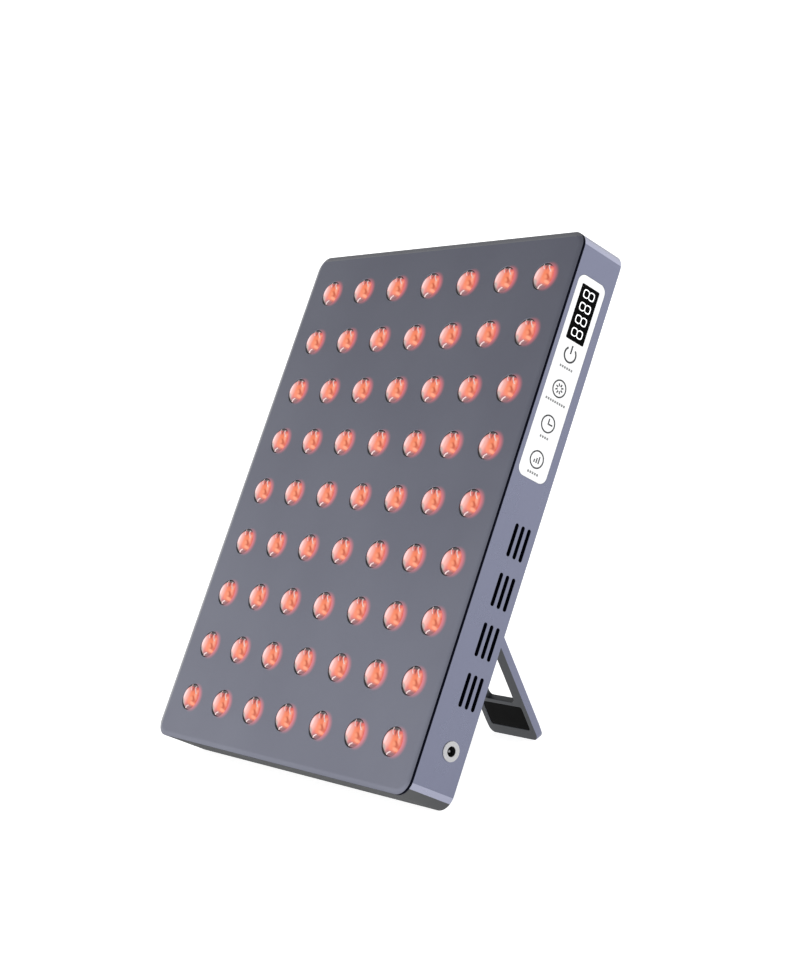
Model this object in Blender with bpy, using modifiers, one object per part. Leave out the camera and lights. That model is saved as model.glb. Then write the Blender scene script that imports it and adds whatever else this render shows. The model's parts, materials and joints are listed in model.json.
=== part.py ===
"""Tabletop red light therapy panel with a folding stand.

The panel is modelled upright in its own frame: X to the right, Z up along the
panel from its centre, and Y the depth, counted backwards from the face of the
front plate. That frame is then leant back until the panel stands on its rear
bottom edge and on the foot of the opened stand, with the middle of its
footprint at the origin.
"""

import math

import bmesh
import bpy
from mathutils import Matrix, Vector

MM = 0.001

# Casing
PANEL_WIDTH = 245 * MM
PANEL_HEIGHT = 315.6 * MM
PANEL_DEPTH = 31 * MM
CORNER_RADIUS = 9 * MM
SHARPEST_CORNER_SHARE = 0.1
CORNER_STEPS = 3
WALL = 2 * MM
LIP_REACH = 6 * MM
LIP_THICKNESS = 1.5 * MM
CLEARANCE = 0.3 * MM
OVERRUN = 2 * MM
ROOT = 0.3 * MM
WELD = 0.001 * MM

# Front plate and its foam ring
PLATE_THICKNESS = 2 * MM
PLATE_EDGE_BEVEL = 0.4 * MM
PLATE_HOLE_DIAMETER = 16 * MM
GASKET_THICKNESS = 0.8 * MM

# Lamps: a square grid centred on the plate, as many as fit, each under its own domed lens
LED_PITCH = 33 * MM
LED_EDGE = 20 * MM
LENS_DIAMETER = 15.4 * MM
LENS_SINK = 0.6 * MM
LENS_FOOT_DIAMETER = 8 * MM
DOME_DIAMETER = 14.2 * MM
DOME_HEIGHT = 3 * MM
DOME_SHOULDER_SHARE = 0.7
BOARD_SINK = 8.3 * MM
LENS_SIDES = 8

# Lamp board and heat sink
BOARD_MARGIN = 8 * MM
BOARD_MARGIN_ENDS = 9 * MM
BOARD_CORNER = 2 * MM
BOARD_THICKNESS = 1.6 * MM
SINK_THICKNESS = 2 * MM
FIN_HEIGHT = 5 * MM
FIN_THICKNESS = 1.2 * MM

# Rear cover
COVER_THICKNESS = 2 * MM
COVER_SINK = 0.3 * MM
POST_DIAMETER = 8 * MM
COVER_SCREW_INSET = 5 * MM
COVER_SCREW_CORNER = 15 * MM
COVER_SCREW_SIDE_RISE = 0 * MM
GRILLE_RADIUS = 22 * MM
GRILLE_SLOT_WIDTH = 3 * MM
GRILLE_PITCH = 6 * MM
GRILLE_ROWS = 7

# Screws
SCREW_HEAD_DIAMETER = 5.6 * MM
SCREW_HEAD_HEIGHT = 0.9 * MM
SCREW_SHANK_DIAMETER = 2.4 * MM
SCREW_SIDES = 8
BOARD_SCREW_BITE = 5 * MM
COVER_SCREW_BITE = 2.2 * MM
FAN_SCREW_BITE = 6 * MM
SMALL_SCREW_BITE = 3 * MM

# Stand, its recess and its hinge
STAND_WIDTH = 44.5 * MM
STAND_LENGTH = 183.2 * MM
STAND_THICKNESS = 4.9 * MM
STAND_FOOT_RADIUS = 4.5 * MM
STAND_HEEL = 4.2 * MM
STAND_SINK = 0.1 * MM
STAND_GAP = 0.6 * MM
OPEN_ANGLE = math.radians(49.9)
HINGE_RISE = 28 * MM
HINGE_PIN_DIAMETER = 2.5 * MM
HINGE_BOSS_REACH = 3.6 * MM
HINGE_BOSS_HEIGHT = 10 * MM
WINDOW_WIDTH = 27 * MM
WINDOW_FOOT = 26 * MM
WINDOW_HEAD = 34 * MM
WINDOW_RADIUS = 2.5 * MM
PAD_WIDTH = 35.6 * MM
PAD_HEIGHT = 16 * MM
PAD_FOOT = 7 * MM
PAD_THICKNESS = 0.8 * MM
PAD_RADIUS = 1.5 * MM
POCKET_SKIN = 1.5 * MM
SCOOP_RADIUS = 8.5 * MM
SCOOP_DEPTH = 4.3 * MM
SCOOP_RISE = 34 * MM
HEEL_STEPS = 4
PIN_SIDES = 8

# Control strip on the right side
OVERLAY_LENGTH = 115.3 * MM
OVERLAY_WIDTH = 20.6 * MM
OVERLAY_RADIUS = 4.6 * MM
OVERLAY_DROP = 22.2 * MM
OVERLAY_THICKNESS = 0.5 * MM
OVERLAY_SINK = 0.1 * MM
DISPLAY_LENGTH = 31.7 * MM
DISPLAY_WIDTH = 13.4 * MM
DISPLAY_DROP = 4.6 * MM
DISPLAY_FLANGE = 0.7 * MM
DISPLAY_FLANGE_THICKNESS = 0.9 * MM
DISPLAY_BODY_LENGTH = 30.1 * MM
DISPLAY_BODY_WIDTH = 14 * MM
DISPLAY_BODY_HEIGHT = 7.2 * MM
DISPLAY_BODY_BEVEL = 0.5 * MM
KEY_DIAMETER = 11.4 * MM
KEY_FLANGE_REACH = 0.8 * MM
KEY_FLANGE_THICKNESS = 0.9 * MM
KEY_STEM_DIAMETER = 3.5 * MM
KEY_STEM_BITE = 1 * MM
KEY_TRAVEL = 0.35 * MM
KEY_FIRST_GAP = 1.9 * MM
KEY_LAST_END = 11.2 * MM
KEY_SPREAD_SHARES = {"power": 0, "brightness": 0.326, "timer": 0.663, "mode": 1}
KEY_SIDES = 12
SWITCH_WIDTH = 6 * MM
SWITCH_HEIGHT = 3.5 * MM

# Control board
CONTROL_BOARD_WIDTH = 18.6 * MM
CONTROL_BOARD_END = 3.4 * MM
CONTROL_BOARD_FACE = 9.2 * MM
CONTROL_BOSS_DIAMETER = 5 * MM
CONTROL_CONNECTOR = Vector((3, 5, 8)) * MM
CONTROL_CONNECTOR_RISE = 13.6 * MM

# Side vents, the same on both sides
VENT_LENGTH = 18.3 * MM
VENT_WIDTH = 2.3 * MM
VENT_PITCH = 4.55 * MM
VENT_GROUP_PITCH = 27.5 * MM
VENT_FIRST_DROP = 13.5 * MM
VENT_DEPTH = 20.9 * MM
VENT_GROUPS = 4
VENTS_IN_GROUP = 3
VENT_END_STEPS = 2

# Low-voltage socket
JACK_DEPTH = 20 * MM
JACK_RISE = 29.7 * MM
JACK_BORE_DIAMETER = 5.5 * MM
JACK_BORE_DEPTH = 8 * MM
JACK_PIN_DIAMETER = 1.9 * MM
JACK_PIN_SINK = 1.2 * MM
JACK_BARREL_DIAMETER = 8.2 * MM
JACK_FLANGE_DIAMETER = 11.8 * MM
JACK_FLANGE_THICKNESS = 1.6 * MM
JACK_BODY_DIAMETER = 9.2 * MM
JACK_LENGTH = 13.6 * MM
JACK_RING_DIAMETER = 10.8 * MM
JACK_RING_THICKNESS = 0.4 * MM
JACK_RING_GAP = 0.1 * MM
JACK_SIDES = 12

# Fans
FAN_SIZE = 50 * MM
FAN_THICKNESS = 10 * MM
FAN_CORNER = 3 * MM
FAN_BORE_DIAMETER = 46.8 * MM
FAN_HUB_DIAMETER = 19 * MM
FAN_SCREW_SPACING = 43 * MM
FAN_STRUT_WIDTH = 3 * MM
FAN_STRUT_THICKNESS = 1.6 * MM
FAN_STRUTS = 3
FAN_STRUT_ROOT = 0.9 * MM
FAN_SHAFT_DIAMETER = 2 * MM
FAN_PLACE_SHARE = 0.49
FAN_RISE = 62 * MM
BLADE_COUNT = 7
BLADE_TIP_GAP = 1.2 * MM
BLADE_THICKNESS = 0.8 * MM
BLADE_ROOT = 0.6 * MM
BLADE_ROOT_CHORD = 8 * MM
BLADE_TIP_CHORD = 13 * MM
BLADE_ROOT_PITCH = math.radians(48)
BLADE_TIP_PITCH = math.radians(27)
BLADE_STATIONS = 2
FAN_SIDES = 12

# Driver board with its parts, as (across, up) places from its centre
DRIVER_WIDTH = 46 * MM
DRIVER_HEIGHT = 90 * MM
DRIVER_PLACE = Vector((53 * MM, -62 * MM))
DRIVER_STANDOFF = 2.2 * MM
DRIVER_STANDOFF_DIAMETER = 5.6 * MM
DRIVER_HOLE_INSET = 4 * MM
DRIVER_COIL_DIAMETER = 12 * MM
DRIVER_COIL_HEIGHT = 5 * MM
DRIVER_CAPACITOR_DIAMETER = 6.3 * MM
DRIVER_CAPACITOR_HEIGHT = 5.6 * MM
DRIVER_CHIP = Vector((9, 10, 1.8)) * MM
DRIVER_PLUG = Vector((8, 7, 4.6)) * MM
DRIVER_PLUG_PITCH = 12 * MM
COIL_PLACE_SHARES = ((-0.22, 0.05), (0.2, 0.05))
CAPACITOR_PLACE_SHARES = ((-0.28, -0.3), (-0.06, -0.3), (-0.28, 0.3))
CHIP_PLACE_SHARES = ((-0.02, -0.15), (0.02, 0.22))

# Inner wires
POWER_WIRE_DIAMETER = 3 * MM
SIGNAL_WIRE_DIAMETER = 2.2 * MM
FAN_WIRE_INSET = 5 * MM
WIRE_RESOLUTION = 2
POWER_ROUTE_SHARES = ((0.24, 0, 0), (0.48, 0.2, 0.32), (0.58, 0.9, 0.9), (0.76, 1, 1))
CONTROL_ROUTE_SHARES = ((0, 0.05, 0.02), (0.1, 0.7, 0.06), (0.22, 0.85, 0.3), (0.6, 0.95, 0.93), (0.82, 1, 1))
LEFT_FAN_ROUTE_SHARES = ((0.2, 0, 0), (0.6, 0.1, 0.2), (0.97, 0.6, 0.6), (1, 1, 0.85))
RIGHT_FAN_ROUTE_SHARES = ((0, 0, 0.2), (0.5, 0.5, 0.55), (1, 1, 0.8))

# The lamp grid and, between its outer lamps, the posts that carry the board
LED_COLUMNS = 1 + int((PANEL_WIDTH - 2 * LED_EDGE) / LED_PITCH)
LED_ROWS = 1 + int((PANEL_HEIGHT - 2 * LED_EDGE) / LED_PITCH)
POST_COLUMN = (LED_COLUMNS - 2) / 2 * LED_PITCH
POST_ROW = (LED_ROWS - 2) / 2 * LED_PITCH
POST_MIDDLE_ROW = (LED_ROWS % 2) / 2 * LED_PITCH

# Depths, counted back from the front plate's face
HALF_WIDTH = PANEL_WIDTH / 2
HALF_HEIGHT = PANEL_HEIGHT / 2
FAN_PLACE = HALF_WIDTH * FAN_PLACE_SHARE
FRAME_FRONT = PLATE_THICKNESS + CLEARANCE
FRONT_LIP = FRAME_FRONT + GASKET_THICKNESS + CLEARANCE
BOARD_FRONT = BOARD_SINK
SINK_FRONT = BOARD_FRONT + BOARD_THICKNESS + CLEARANCE
SINK_BACK = SINK_FRONT + SINK_THICKNESS
COVER_BACK = PANEL_DEPTH - COVER_SINK
COVER_INSIDE = COVER_BACK - COVER_THICKNESS
REAR_LIP_BACK = COVER_INSIDE - CLEARANCE
POST_FRONT = SINK_BACK + CLEARANCE
FAN_BACK = COVER_INSIDE - CLEARANCE
FAN_FRONT = FAN_BACK - FAN_THICKNESS
HINGE_DEPTH = COVER_BACK - STAND_SINK - STAND_THICKNESS / 2
POCKET_FLOOR = HINGE_DEPTH - STAND_THICKNESS / 2 - CLEARANCE
POCKET_INSIDE = POCKET_FLOOR - POCKET_SKIN
POCKET_TOP = HINGE_RISE + math.hypot(STAND_HEEL, STAND_THICKNESS / 2) + STAND_GAP
POCKET_HALF_WIDTH = STAND_WIDTH / 2 + STAND_GAP
DRIVER_BACK = COVER_INSIDE - DRIVER_STANDOFF - CLEARANCE
DRIVER_FRONT = DRIVER_BACK - BOARD_THICKNESS

# Places on the right side, X counted from the panel's middle
WALL_INSIDE = HALF_WIDTH - WALL
OVERLAY_FACE = HALF_WIDTH - OVERLAY_SINK
OVERLAY_SEAT = OVERLAY_FACE - OVERLAY_THICKNESS - CLEARANCE
OVERLAY_TOP = HALF_HEIGHT - OVERLAY_DROP
OVERLAY_MIDDLE = OVERLAY_TOP - OVERLAY_LENGTH / 2
STRIP_DEPTH = PANEL_DEPTH / 2
DISPLAY_MIDDLE = OVERLAY_TOP - DISPLAY_DROP - DISPLAY_LENGTH / 2
BOARD_FACE = WALL_INSIDE - CONTROL_BOARD_FACE
KEY_FLANGE_FACE = WALL_INSIDE - CLEARANCE - KEY_TRAVEL / 2
SWITCH_TOP = BOARD_FACE + CLEARANCE + SWITCH_HEIGHT
JACK_PLACE = Vector((HALF_WIDTH, JACK_DEPTH, JACK_RISE - HALF_HEIGHT))

# How outlines lie: across, up and thickness of a flat form in the panel's frame
FACING_FRONT = Matrix(((1, 0, 0), (0, 0, -1), (0, 1, 0))).to_4x4()
FACING_SIDE = Matrix(((0, 0, 1), (1, 0, 0), (0, 1, 0))).to_4x4()
ALONG_STAND = Matrix(((0, 0, 1), (0, 1, 0), (-1, 0, 0))).to_4x4()
TURNED_BACK = Matrix.Rotation(math.radians(-90), 4, "X")
TURNED_FRONT = Matrix.Rotation(math.radians(90), 4, "X")
TURNED_RIGHT = Matrix.Rotation(math.radians(90), 4, "Y")
TURNED_LEFT = Matrix.Rotation(math.radians(-90), 4, "Y")


def clear_scene():
    """Remove whatever the file opened with."""
    for leftover in list(bpy.data.objects):
        bpy.data.objects.remove(leftover)


def new_collection(name):
    """A collection linked to the scene."""
    collection = bpy.data.collections.new(name)
    bpy.context.scene.collection.children.link(collection)
    return collection


clear_scene()
PARTS = new_collection("red_light_therapy_panel")
GUIDES = new_collection("guides")


# Outlines

def arc(centre, radius, start, end, steps):
    """Points on an arc between two angles, both ends included."""
    angles = [start + (end - start) * step / steps for step in range(steps + 1)]
    return [(centre[0] + radius * math.cos(a), centre[1] + radius * math.sin(a)) for a in angles]


def circle(radius, sides, centre=(0, 0)):
    """A closed polygon on a circle."""
    return arc(centre, radius, 0, 2 * math.pi, sides)[:-1]


def rounded_rectangle(width, height, radius, steps, centre=(0, 0)):
    """A rectangle with round corners, anticlockwise from the right bottom one."""
    points = []
    for corner, (side, end) in enumerate(((1, -1), (1, 1), (-1, 1), (-1, -1))):
        middle = (centre[0] + side * (width / 2 - radius), centre[1] + end * (height / 2 - radius))
        start = (corner - 1) * math.pi / 2
        points += arc(middle, radius, start, start + math.pi / 2, steps)
    return points


def rectangle(width, height, centre=(0, 0)):
    """A rectangle with square corners."""
    corners = ((1, -1), (1, 1), (-1, 1), (-1, -1))
    return [(centre[0] + side * width / 2, centre[1] + end * height / 2) for side, end in corners]


def slot(length, width, steps, centre=(0, 0)):
    """An upright slot with round ends."""
    straight = length / 2 - width / 2
    top = arc((centre[0], centre[1] + straight), width / 2, 0, math.pi, steps)
    bottom = arc((centre[0], centre[1] - straight), width / 2, math.pi, 2 * math.pi, steps)
    return top + bottom


def casing_outline(inset):
    """The casing's outline as seen from the front, moved in by an inset."""
    radius = max(CORNER_RADIUS - inset, CORNER_RADIUS * SHARPEST_CORNER_SHARE)
    return rounded_rectangle(PANEL_WIDTH - 2 * inset, PANEL_HEIGHT - 2 * inset, radius, CORNER_STEPS)


# Meshes

def edited(mesh, edit):
    """The mesh after an edit written for a bmesh."""
    bm = bmesh.new()
    bm.from_mesh(mesh)
    edit(bm)
    bm.to_mesh(mesh)
    bm.free()
    return mesh


def close_up(bm):
    """Weld loose caps and turn every face outwards."""
    bmesh.ops.remove_doubles(bm, verts=bm.verts, dist=WELD)
    bmesh.ops.recalc_face_normals(bm, faces=bm.faces)


def mesh_of(guide):
    """The welded mesh that a curve or an object with modifiers stands for."""
    GUIDES.objects.link(guide)
    depsgraph = bpy.context.evaluated_depsgraph_get()
    mesh = bpy.data.meshes.new_from_object(guide.evaluated_get(depsgraph))
    bpy.data.objects.remove(guide)
    return edited(mesh, close_up)


def moved(mesh, matrix):
    """The mesh after a turn or a shift."""
    mesh.transform(matrix)
    return mesh


def flat_form(outlines, thickness, place, facing):
    """A flat form whose first outline is its edge and whose others are holes, set by its middle."""
    curve = bpy.data.curves.new("outline", "CURVE")
    curve.dimensions = "2D"
    curve.fill_mode = "BOTH"
    curve.extrude = thickness / 2
    for outline in outlines:
        spline = curve.splines.new("POLY")
        spline.points.add(len(outline) - 1)
        for point, (across, up) in zip(spline.points, outline):
            point.co = (across, up, 0, 1)
        spline.use_cyclic_u = True
    mesh = mesh_of(bpy.data.objects.new("outline", curve))
    return moved(mesh, Matrix.Translation(place) @ facing)


def front_form(outlines, front, back):
    """A flat form seen from the front, between two depths."""
    return flat_form(outlines, back - front, (0, (front + back) / 2, 0), FACING_FRONT)


def side_form(outlines, inner, outer):
    """A flat form seen from the right side, between two places across."""
    return flat_form(outlines, outer - inner, ((inner + outer) / 2, 0, 0), FACING_SIDE)


def turned_form(profile, sides, closed=False):
    """A turned solid about Z, its profile of (radius, height) running from the top down the outside."""
    mesh = bpy.data.meshes.new("profile")
    edges = [(index, index + 1) for index in range(len(profile) - 1)]
    if closed:
        edges.append((len(profile) - 1, 0))
    mesh.from_pydata([(radius, 0, height) for radius, height in profile], edges, [])
    guide = bpy.data.objects.new("profile", mesh)
    screw = guide.modifiers.new("turn", "SCREW")
    screw.steps = sides
    screw.render_steps = sides
    screw.use_merge_vertices = True
    screw.merge_threshold = WELD
    return mesh_of(guide)


def block(low, high):
    """A box between two opposite corners."""
    low, high = Vector(low), Vector(high)
    mesh = bpy.data.meshes.new("block")
    bm = bmesh.new()
    bmesh.ops.create_cube(bm, size=1)
    bmesh.ops.scale(bm, vec=high - low, verts=bm.verts)
    bmesh.ops.translate(bm, vec=(low + high) / 2, verts=bm.verts)
    bm.to_mesh(mesh)
    bm.free()
    return mesh


def rod(diameter, start, end, sides):
    """A round rod between two points."""
    start, end = Vector(start), Vector(end)
    mesh = bpy.data.meshes.new("rod")
    bm = bmesh.new()
    bmesh.ops.create_cone(
        bm,
        cap_ends=True,
        segments=sides,
        radius1=diameter / 2,
        radius2=diameter / 2,
        depth=(end - start).length,
    )
    turn = Vector((0, 0, 1)).rotation_difference(end - start).to_matrix().to_4x4()
    bmesh.ops.transform(bm, matrix=Matrix.Translation((start + end) / 2) @ turn, verts=bm.verts)
    bm.to_mesh(mesh)
    bm.free()
    return mesh


def together(meshes):
    """Separate closed meshes in one, to join or cut with in one go."""
    result = bpy.data.meshes.new("group")
    bm = bmesh.new()
    for mesh in meshes:
        bm.from_mesh(mesh)
        bpy.data.meshes.remove(mesh)
    bm.to_mesh(result)
    bm.free()
    return result


def combined(body, tool, operation):
    """The body joined with or cut by a tool."""
    host = bpy.data.objects.new("body", body)
    helper = bpy.data.objects.new("tool", tool)
    helper.hide_render = True
    helper.display_type = "WIRE"
    GUIDES.objects.link(helper)
    boolean = host.modifiers.new(operation, "BOOLEAN")
    boolean.object = helper
    boolean.operation = operation
    boolean.solver = "EXACT"
    result = mesh_of(host)
    bpy.data.objects.remove(helper)
    return result


def joined(body, *meshes):
    """The body with separate meshes grown onto it."""
    return combined(body, together(meshes), "UNION")


def cut(body, *meshes):
    """The body less separate meshes."""
    return combined(body, together(meshes), "DIFFERENCE")


def swept_ring(section):
    """The casing's outline swept round a closed section of (depth, inset) points."""
    mesh = bpy.data.meshes.new("ring")
    bm = bmesh.new()
    loops = []
    for depth, inset in section:
        loops.append([bm.verts.new((across, depth, up)) for across, up in casing_outline(inset)])
    for loop, following in zip(loops, loops[1:] + loops[:1]):
        for index in range(len(loop)):
            bm.faces.new((loop[index - 1], loop[index], following[index], following[index - 1]))
    close_up(bm)
    bm.to_mesh(mesh)
    bm.free()
    return mesh


# Finishes and pieces

def finish(name, colour, roughness, metallic=0.0):
    """A plain Principled material."""
    material = bpy.data.materials.new(name)
    material.use_nodes = True
    shader = material.node_tree.nodes["Principled BSDF"]
    shader.inputs["Base Color"].default_value = (*colour, 1)
    shader.inputs["Roughness"].default_value = roughness
    shader.inputs["Metallic"].default_value = metallic
    return material


PLATE_GREY = finish("plate_grey", (0.16, 0.165, 0.2), 0.45, 0.5)
CASING_LILAC = finish("casing_lilac_grey", (0.24, 0.25, 0.33), 0.38, 0.6)
COVER_GREY = finish("cover_grey", (0.1, 0.1, 0.12), 0.55, 0.2)
FOAM = finish("foam_black", (0.02, 0.02, 0.025), 0.95)
BOARD_WHITE = finish("lamp_board_and_lenses", (0.8, 0.5, 0.45), 0.2)
ALUMINIUM = finish("bare_aluminium", (0.7, 0.7, 0.72), 0.35, 1.0)
BOARD_GREEN = finish("board_green", (0.02, 0.16, 0.06), 0.5)
FILM_WHITE = finish("film_white", (0.9, 0.9, 0.9), 0.35)
WINDOW_BLACK = finish("window_black", (0.005, 0.005, 0.006), 0.08)
PLASTIC_BLACK = finish("plastic_black", (0.02, 0.02, 0.022), 0.5)
RING_SILVER = finish("ring_silver", (0.62, 0.62, 0.62), 0.3, 0.7)
STEEL = finish("steel", (0.5, 0.5, 0.52), 0.3, 1.0)
RUBBER = finish("pad_rubber", (0.012, 0.012, 0.013), 0.85)
WIRE_RED = finish("wire_red", (0.4, 0.02, 0.02), 0.5)
WIRE_GREY = finish("wire_grey", (0.25, 0.25, 0.26), 0.5)
SMOOTHING_ANGLE = math.radians(32)


def piece(name, mesh, material, parent, place=None):
    """One named piece of the panel, shaded smooth where it is round."""
    mesh.name = name
    mesh.materials.clear()
    mesh.materials.append(material)
    mesh.shade_smooth()
    mesh.set_sharp_from_angle(angle=SMOOTHING_ANGLE)
    part = bpy.data.objects.new(name, mesh)
    PARTS.objects.link(part)
    part.parent = parent
    if place:
        part.matrix_local = place
    return part


def empty(name, place, parent=None):
    """A frame that pieces hang on."""
    holder = bpy.data.objects.new(name, None)
    PARTS.objects.link(holder)
    holder.parent = parent
    holder.matrix_local = place
    return holder


# How the panel stands

def stand_corner(rear):
    """(depth, height) of the opened foot's front or rear corner, in the panel's frame."""
    half = STAND_THICKNESS / 2 * (1 if rear else -1)
    depth = HINGE_DEPTH + STAND_LENGTH * math.sin(OPEN_ANGLE) + half * math.cos(OPEN_ANGLE)
    height = HINGE_RISE - STAND_LENGTH * math.cos(OPEN_ANGLE) + half * math.sin(OPEN_ANGLE)
    return depth, height


FOOT_DEPTH, FOOT_HEIGHT = stand_corner(rear=False)
LEAN = math.atan2(FOOT_HEIGHT + HALF_HEIGHT, FOOT_DEPTH - PANEL_DEPTH)


def leant(depth, height):
    """World (back, up) of a point of the panel's frame, before the panel is set down."""
    back = depth * math.cos(LEAN) + height * math.sin(LEAN)
    up = height * math.cos(LEAN) - depth * math.sin(LEAN)
    return back, up


def panel_placement():
    """Where the panel's frame goes so that its footprint is centred on the origin."""
    front = leant(0, -HALF_HEIGHT)[0]
    back = max(leant(*stand_corner(rear=True))[0], leant(PANEL_DEPTH, HALF_HEIGHT)[0])
    floor = leant(PANEL_DEPTH, -HALF_HEIGHT)[1]
    return Matrix.Translation((0, -(front + back) / 2, -floor)) @ Matrix.Rotation(-LEAN, 4, "X")


# Places that several pieces share

def led_places():
    """(across, up) of every lamp."""
    columns = [(column - (LED_COLUMNS - 1) / 2) * LED_PITCH for column in range(LED_COLUMNS)]
    rows = [(row - (LED_ROWS - 1) / 2) * LED_PITCH for row in range(LED_ROWS)]
    return [(across, up) for up in rows for across in columns]


def post_places():
    """(across, up) of the rear cover's posts, each between four lamps."""
    return [(side * POST_COLUMN, up) for up in (-POST_ROW, POST_MIDDLE_ROW, POST_ROW) for side in (-1, 1)]


def cover_screw_places():
    """(across, up) of the screws round the rear cover."""
    across = HALF_WIDTH - COVER_SCREW_INSET
    up = HALF_HEIGHT - COVER_SCREW_INSET
    sides = [(side * across, end * (up - COVER_SCREW_CORNER)) for side in (-1, 1) for end in (-1, 1)]
    middles = [(side * across, COVER_SCREW_SIDE_RISE) for side in (-1, 1)]
    ends = [(side * FAN_PLACE, end * up) for side in (-1, 1) for end in (-1, 1)]
    return sides + middles + ends[:2]


def fan_places():
    """(across, up) of the two fans."""
    return [(side * FAN_PLACE, FAN_RISE) for side in (-1, 1)]


def fan_screw_places():
    """(across, up) of the fan screws, two to a fan on a diagonal."""
    half = FAN_SCREW_SPACING / 2
    return [(across + end * half, up + end * half) for across, up in fan_places() for end in (-1, 1)]


def driver_hole_places():
    """(across, up) of the driver board's standoffs; the first two take screws."""
    across = DRIVER_WIDTH / 2 - DRIVER_HOLE_INSET
    up = DRIVER_HEIGHT / 2 - DRIVER_HOLE_INSET
    corners = ((1, 1), (-1, -1), (-1, 1), (1, -1))
    return [(DRIVER_PLACE.x + side * across, DRIVER_PLACE.y + end * up) for side, end in corners]


def key_places():
    """Height of each key, spread between the window and the strip's lower end."""
    first = OVERLAY_TOP - DISPLAY_DROP - DISPLAY_LENGTH - KEY_FIRST_GAP - KEY_DIAMETER / 2
    last = OVERLAY_TOP - OVERLAY_LENGTH + KEY_LAST_END
    return [first + (last - first) * share for share in KEY_SPREAD_SHARES.values()]


def control_boss_places():
    """Height of the two bosses that carry the control board."""
    half = CONTROL_BOSS_DIAMETER / 2
    return [OVERLAY_TOP - half / 2, OVERLAY_TOP - OVERLAY_LENGTH + half / 2]


# Front plate and gasket

def front_plate():
    """The plate with a hole for every lamp and an eased front edge."""
    holes = [circle(PLATE_HOLE_DIAMETER / 2, LENS_SIDES, place) for place in led_places()]
    mesh = front_form([casing_outline(0)] + holes, 0, PLATE_THICKNESS)
    grid_reach = (LED_COLUMNS - 1) / 2 * LED_PITCH + PLATE_HOLE_DIAMETER / 2
    grid_rise = (LED_ROWS - 1) / 2 * LED_PITCH + PLATE_HOLE_DIAMETER / 2

    def ease_front_edge(bm):
        rim = []
        for edge in bm.edges:
            middle = (edge.verts[0].co + edge.verts[1].co) / 2
            outside = abs(middle.x) > grid_reach + WELD or abs(middle.z) > grid_rise + WELD
            sharp = edge.calc_face_angle(0) > SMOOTHING_ANGLE
            if outside and sharp and abs(middle.y) < PLATE_EDGE_BEVEL / 2:
                rim.append(edge)
        bmesh.ops.bevel(
            bm, geom=rim, offset=PLATE_EDGE_BEVEL, segments=1, affect="EDGES", profile=0.5, material=-1
        )

    return edited(mesh, ease_front_edge)


def front_gasket():
    """The foam ring between the plate and the frame's front lip."""
    outer = WALL + CLEARANCE
    inner = WALL + LIP_REACH
    back = FRAME_FRONT + GASKET_THICKNESS
    return swept_ring([(FRAME_FRONT, outer), (back, outer), (back, inner), (FRAME_FRONT, inner)])


# Lamp board and heat sink

def lens():
    """One domed lens with a flat rim, about Z from the board's face, its foot a little inside it."""
    rim_top = BOARD_SINK - LENS_SINK
    dome = DOME_DIAMETER / 2
    profile = [
        (0, rim_top + DOME_HEIGHT),
        (dome * DOME_SHOULDER_SHARE, rim_top + DOME_HEIGHT * DOME_SHOULDER_SHARE),
        (dome, rim_top),
        (LENS_DIAMETER / 2, rim_top),
        (LENS_FOOT_DIAMETER / 2, -ROOT),
        (0, -ROOT),
    ]
    return turned_form(profile, LENS_SIDES)


def board_outline():
    """The lamp board's outline, a margin outside the outer lamps."""
    width = (LED_COLUMNS - 1) * LED_PITCH + 2 * BOARD_MARGIN
    height = (LED_ROWS - 1) * LED_PITCH + 2 * BOARD_MARGIN_ENDS
    return rounded_rectangle(width, height, BOARD_CORNER, 1)


def screw_hole_outlines(places):
    """Clearance holes for a screw's shank."""
    diameter = SCREW_SHANK_DIAMETER + 2 * CLEARANCE
    return [circle(diameter / 2, SCREW_SIDES, place) for place in places]


def led_board():
    """The metal-core board with a lens over every emitter."""
    holes = screw_hole_outlines(post_places())
    board = front_form([board_outline()] + holes, BOARD_FRONT, BOARD_FRONT + BOARD_THICKNESS)
    lenses = []
    for across, up in led_places():
        place = Matrix.Translation((across, BOARD_FRONT, up)) @ TURNED_FRONT
        lenses.append(moved(lens(), place))
    return joined(board, *lenses)


def heat_sink():
    """A base plate with upright fins between the columns of posts."""
    width = (LED_COLUMNS - 1) * LED_PITCH + 2 * BOARD_MARGIN
    height = (LED_ROWS - 1) * LED_PITCH + 2 * BOARD_MARGIN_ENDS
    places = [index * LED_PITCH / 2 for index in range(1 - LED_COLUMNS, LED_COLUMNS)]
    fins = [across for across in places if abs(abs(across) - POST_COLUMN) > POST_DIAMETER / 2]
    outline = [(width / 2, SINK_FRONT), (width / 2, SINK_BACK)]
    for across in reversed(fins):
        right = across + FIN_THICKNESS / 2
        left = across - FIN_THICKNESS / 2
        tip = SINK_BACK + FIN_HEIGHT
        outline += [(right, SINK_BACK), (right, tip), (left, tip), (left, SINK_BACK)]
    outline += [(-width / 2, SINK_BACK), (-width / 2, SINK_FRONT)]
    extrusion = flat_form([outline], height, (0, 0, 0), Matrix())
    diameter = SCREW_SHANK_DIAMETER + 2 * CLEARANCE
    drills = []
    for across, up in post_places():
        start = (across, SINK_FRONT - OVERRUN, up)
        drills.append(rod(diameter, start, (across, SINK_BACK + OVERRUN, up), SCREW_SIDES))
    return cut(extrusion, *drills)


# Side frame

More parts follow.
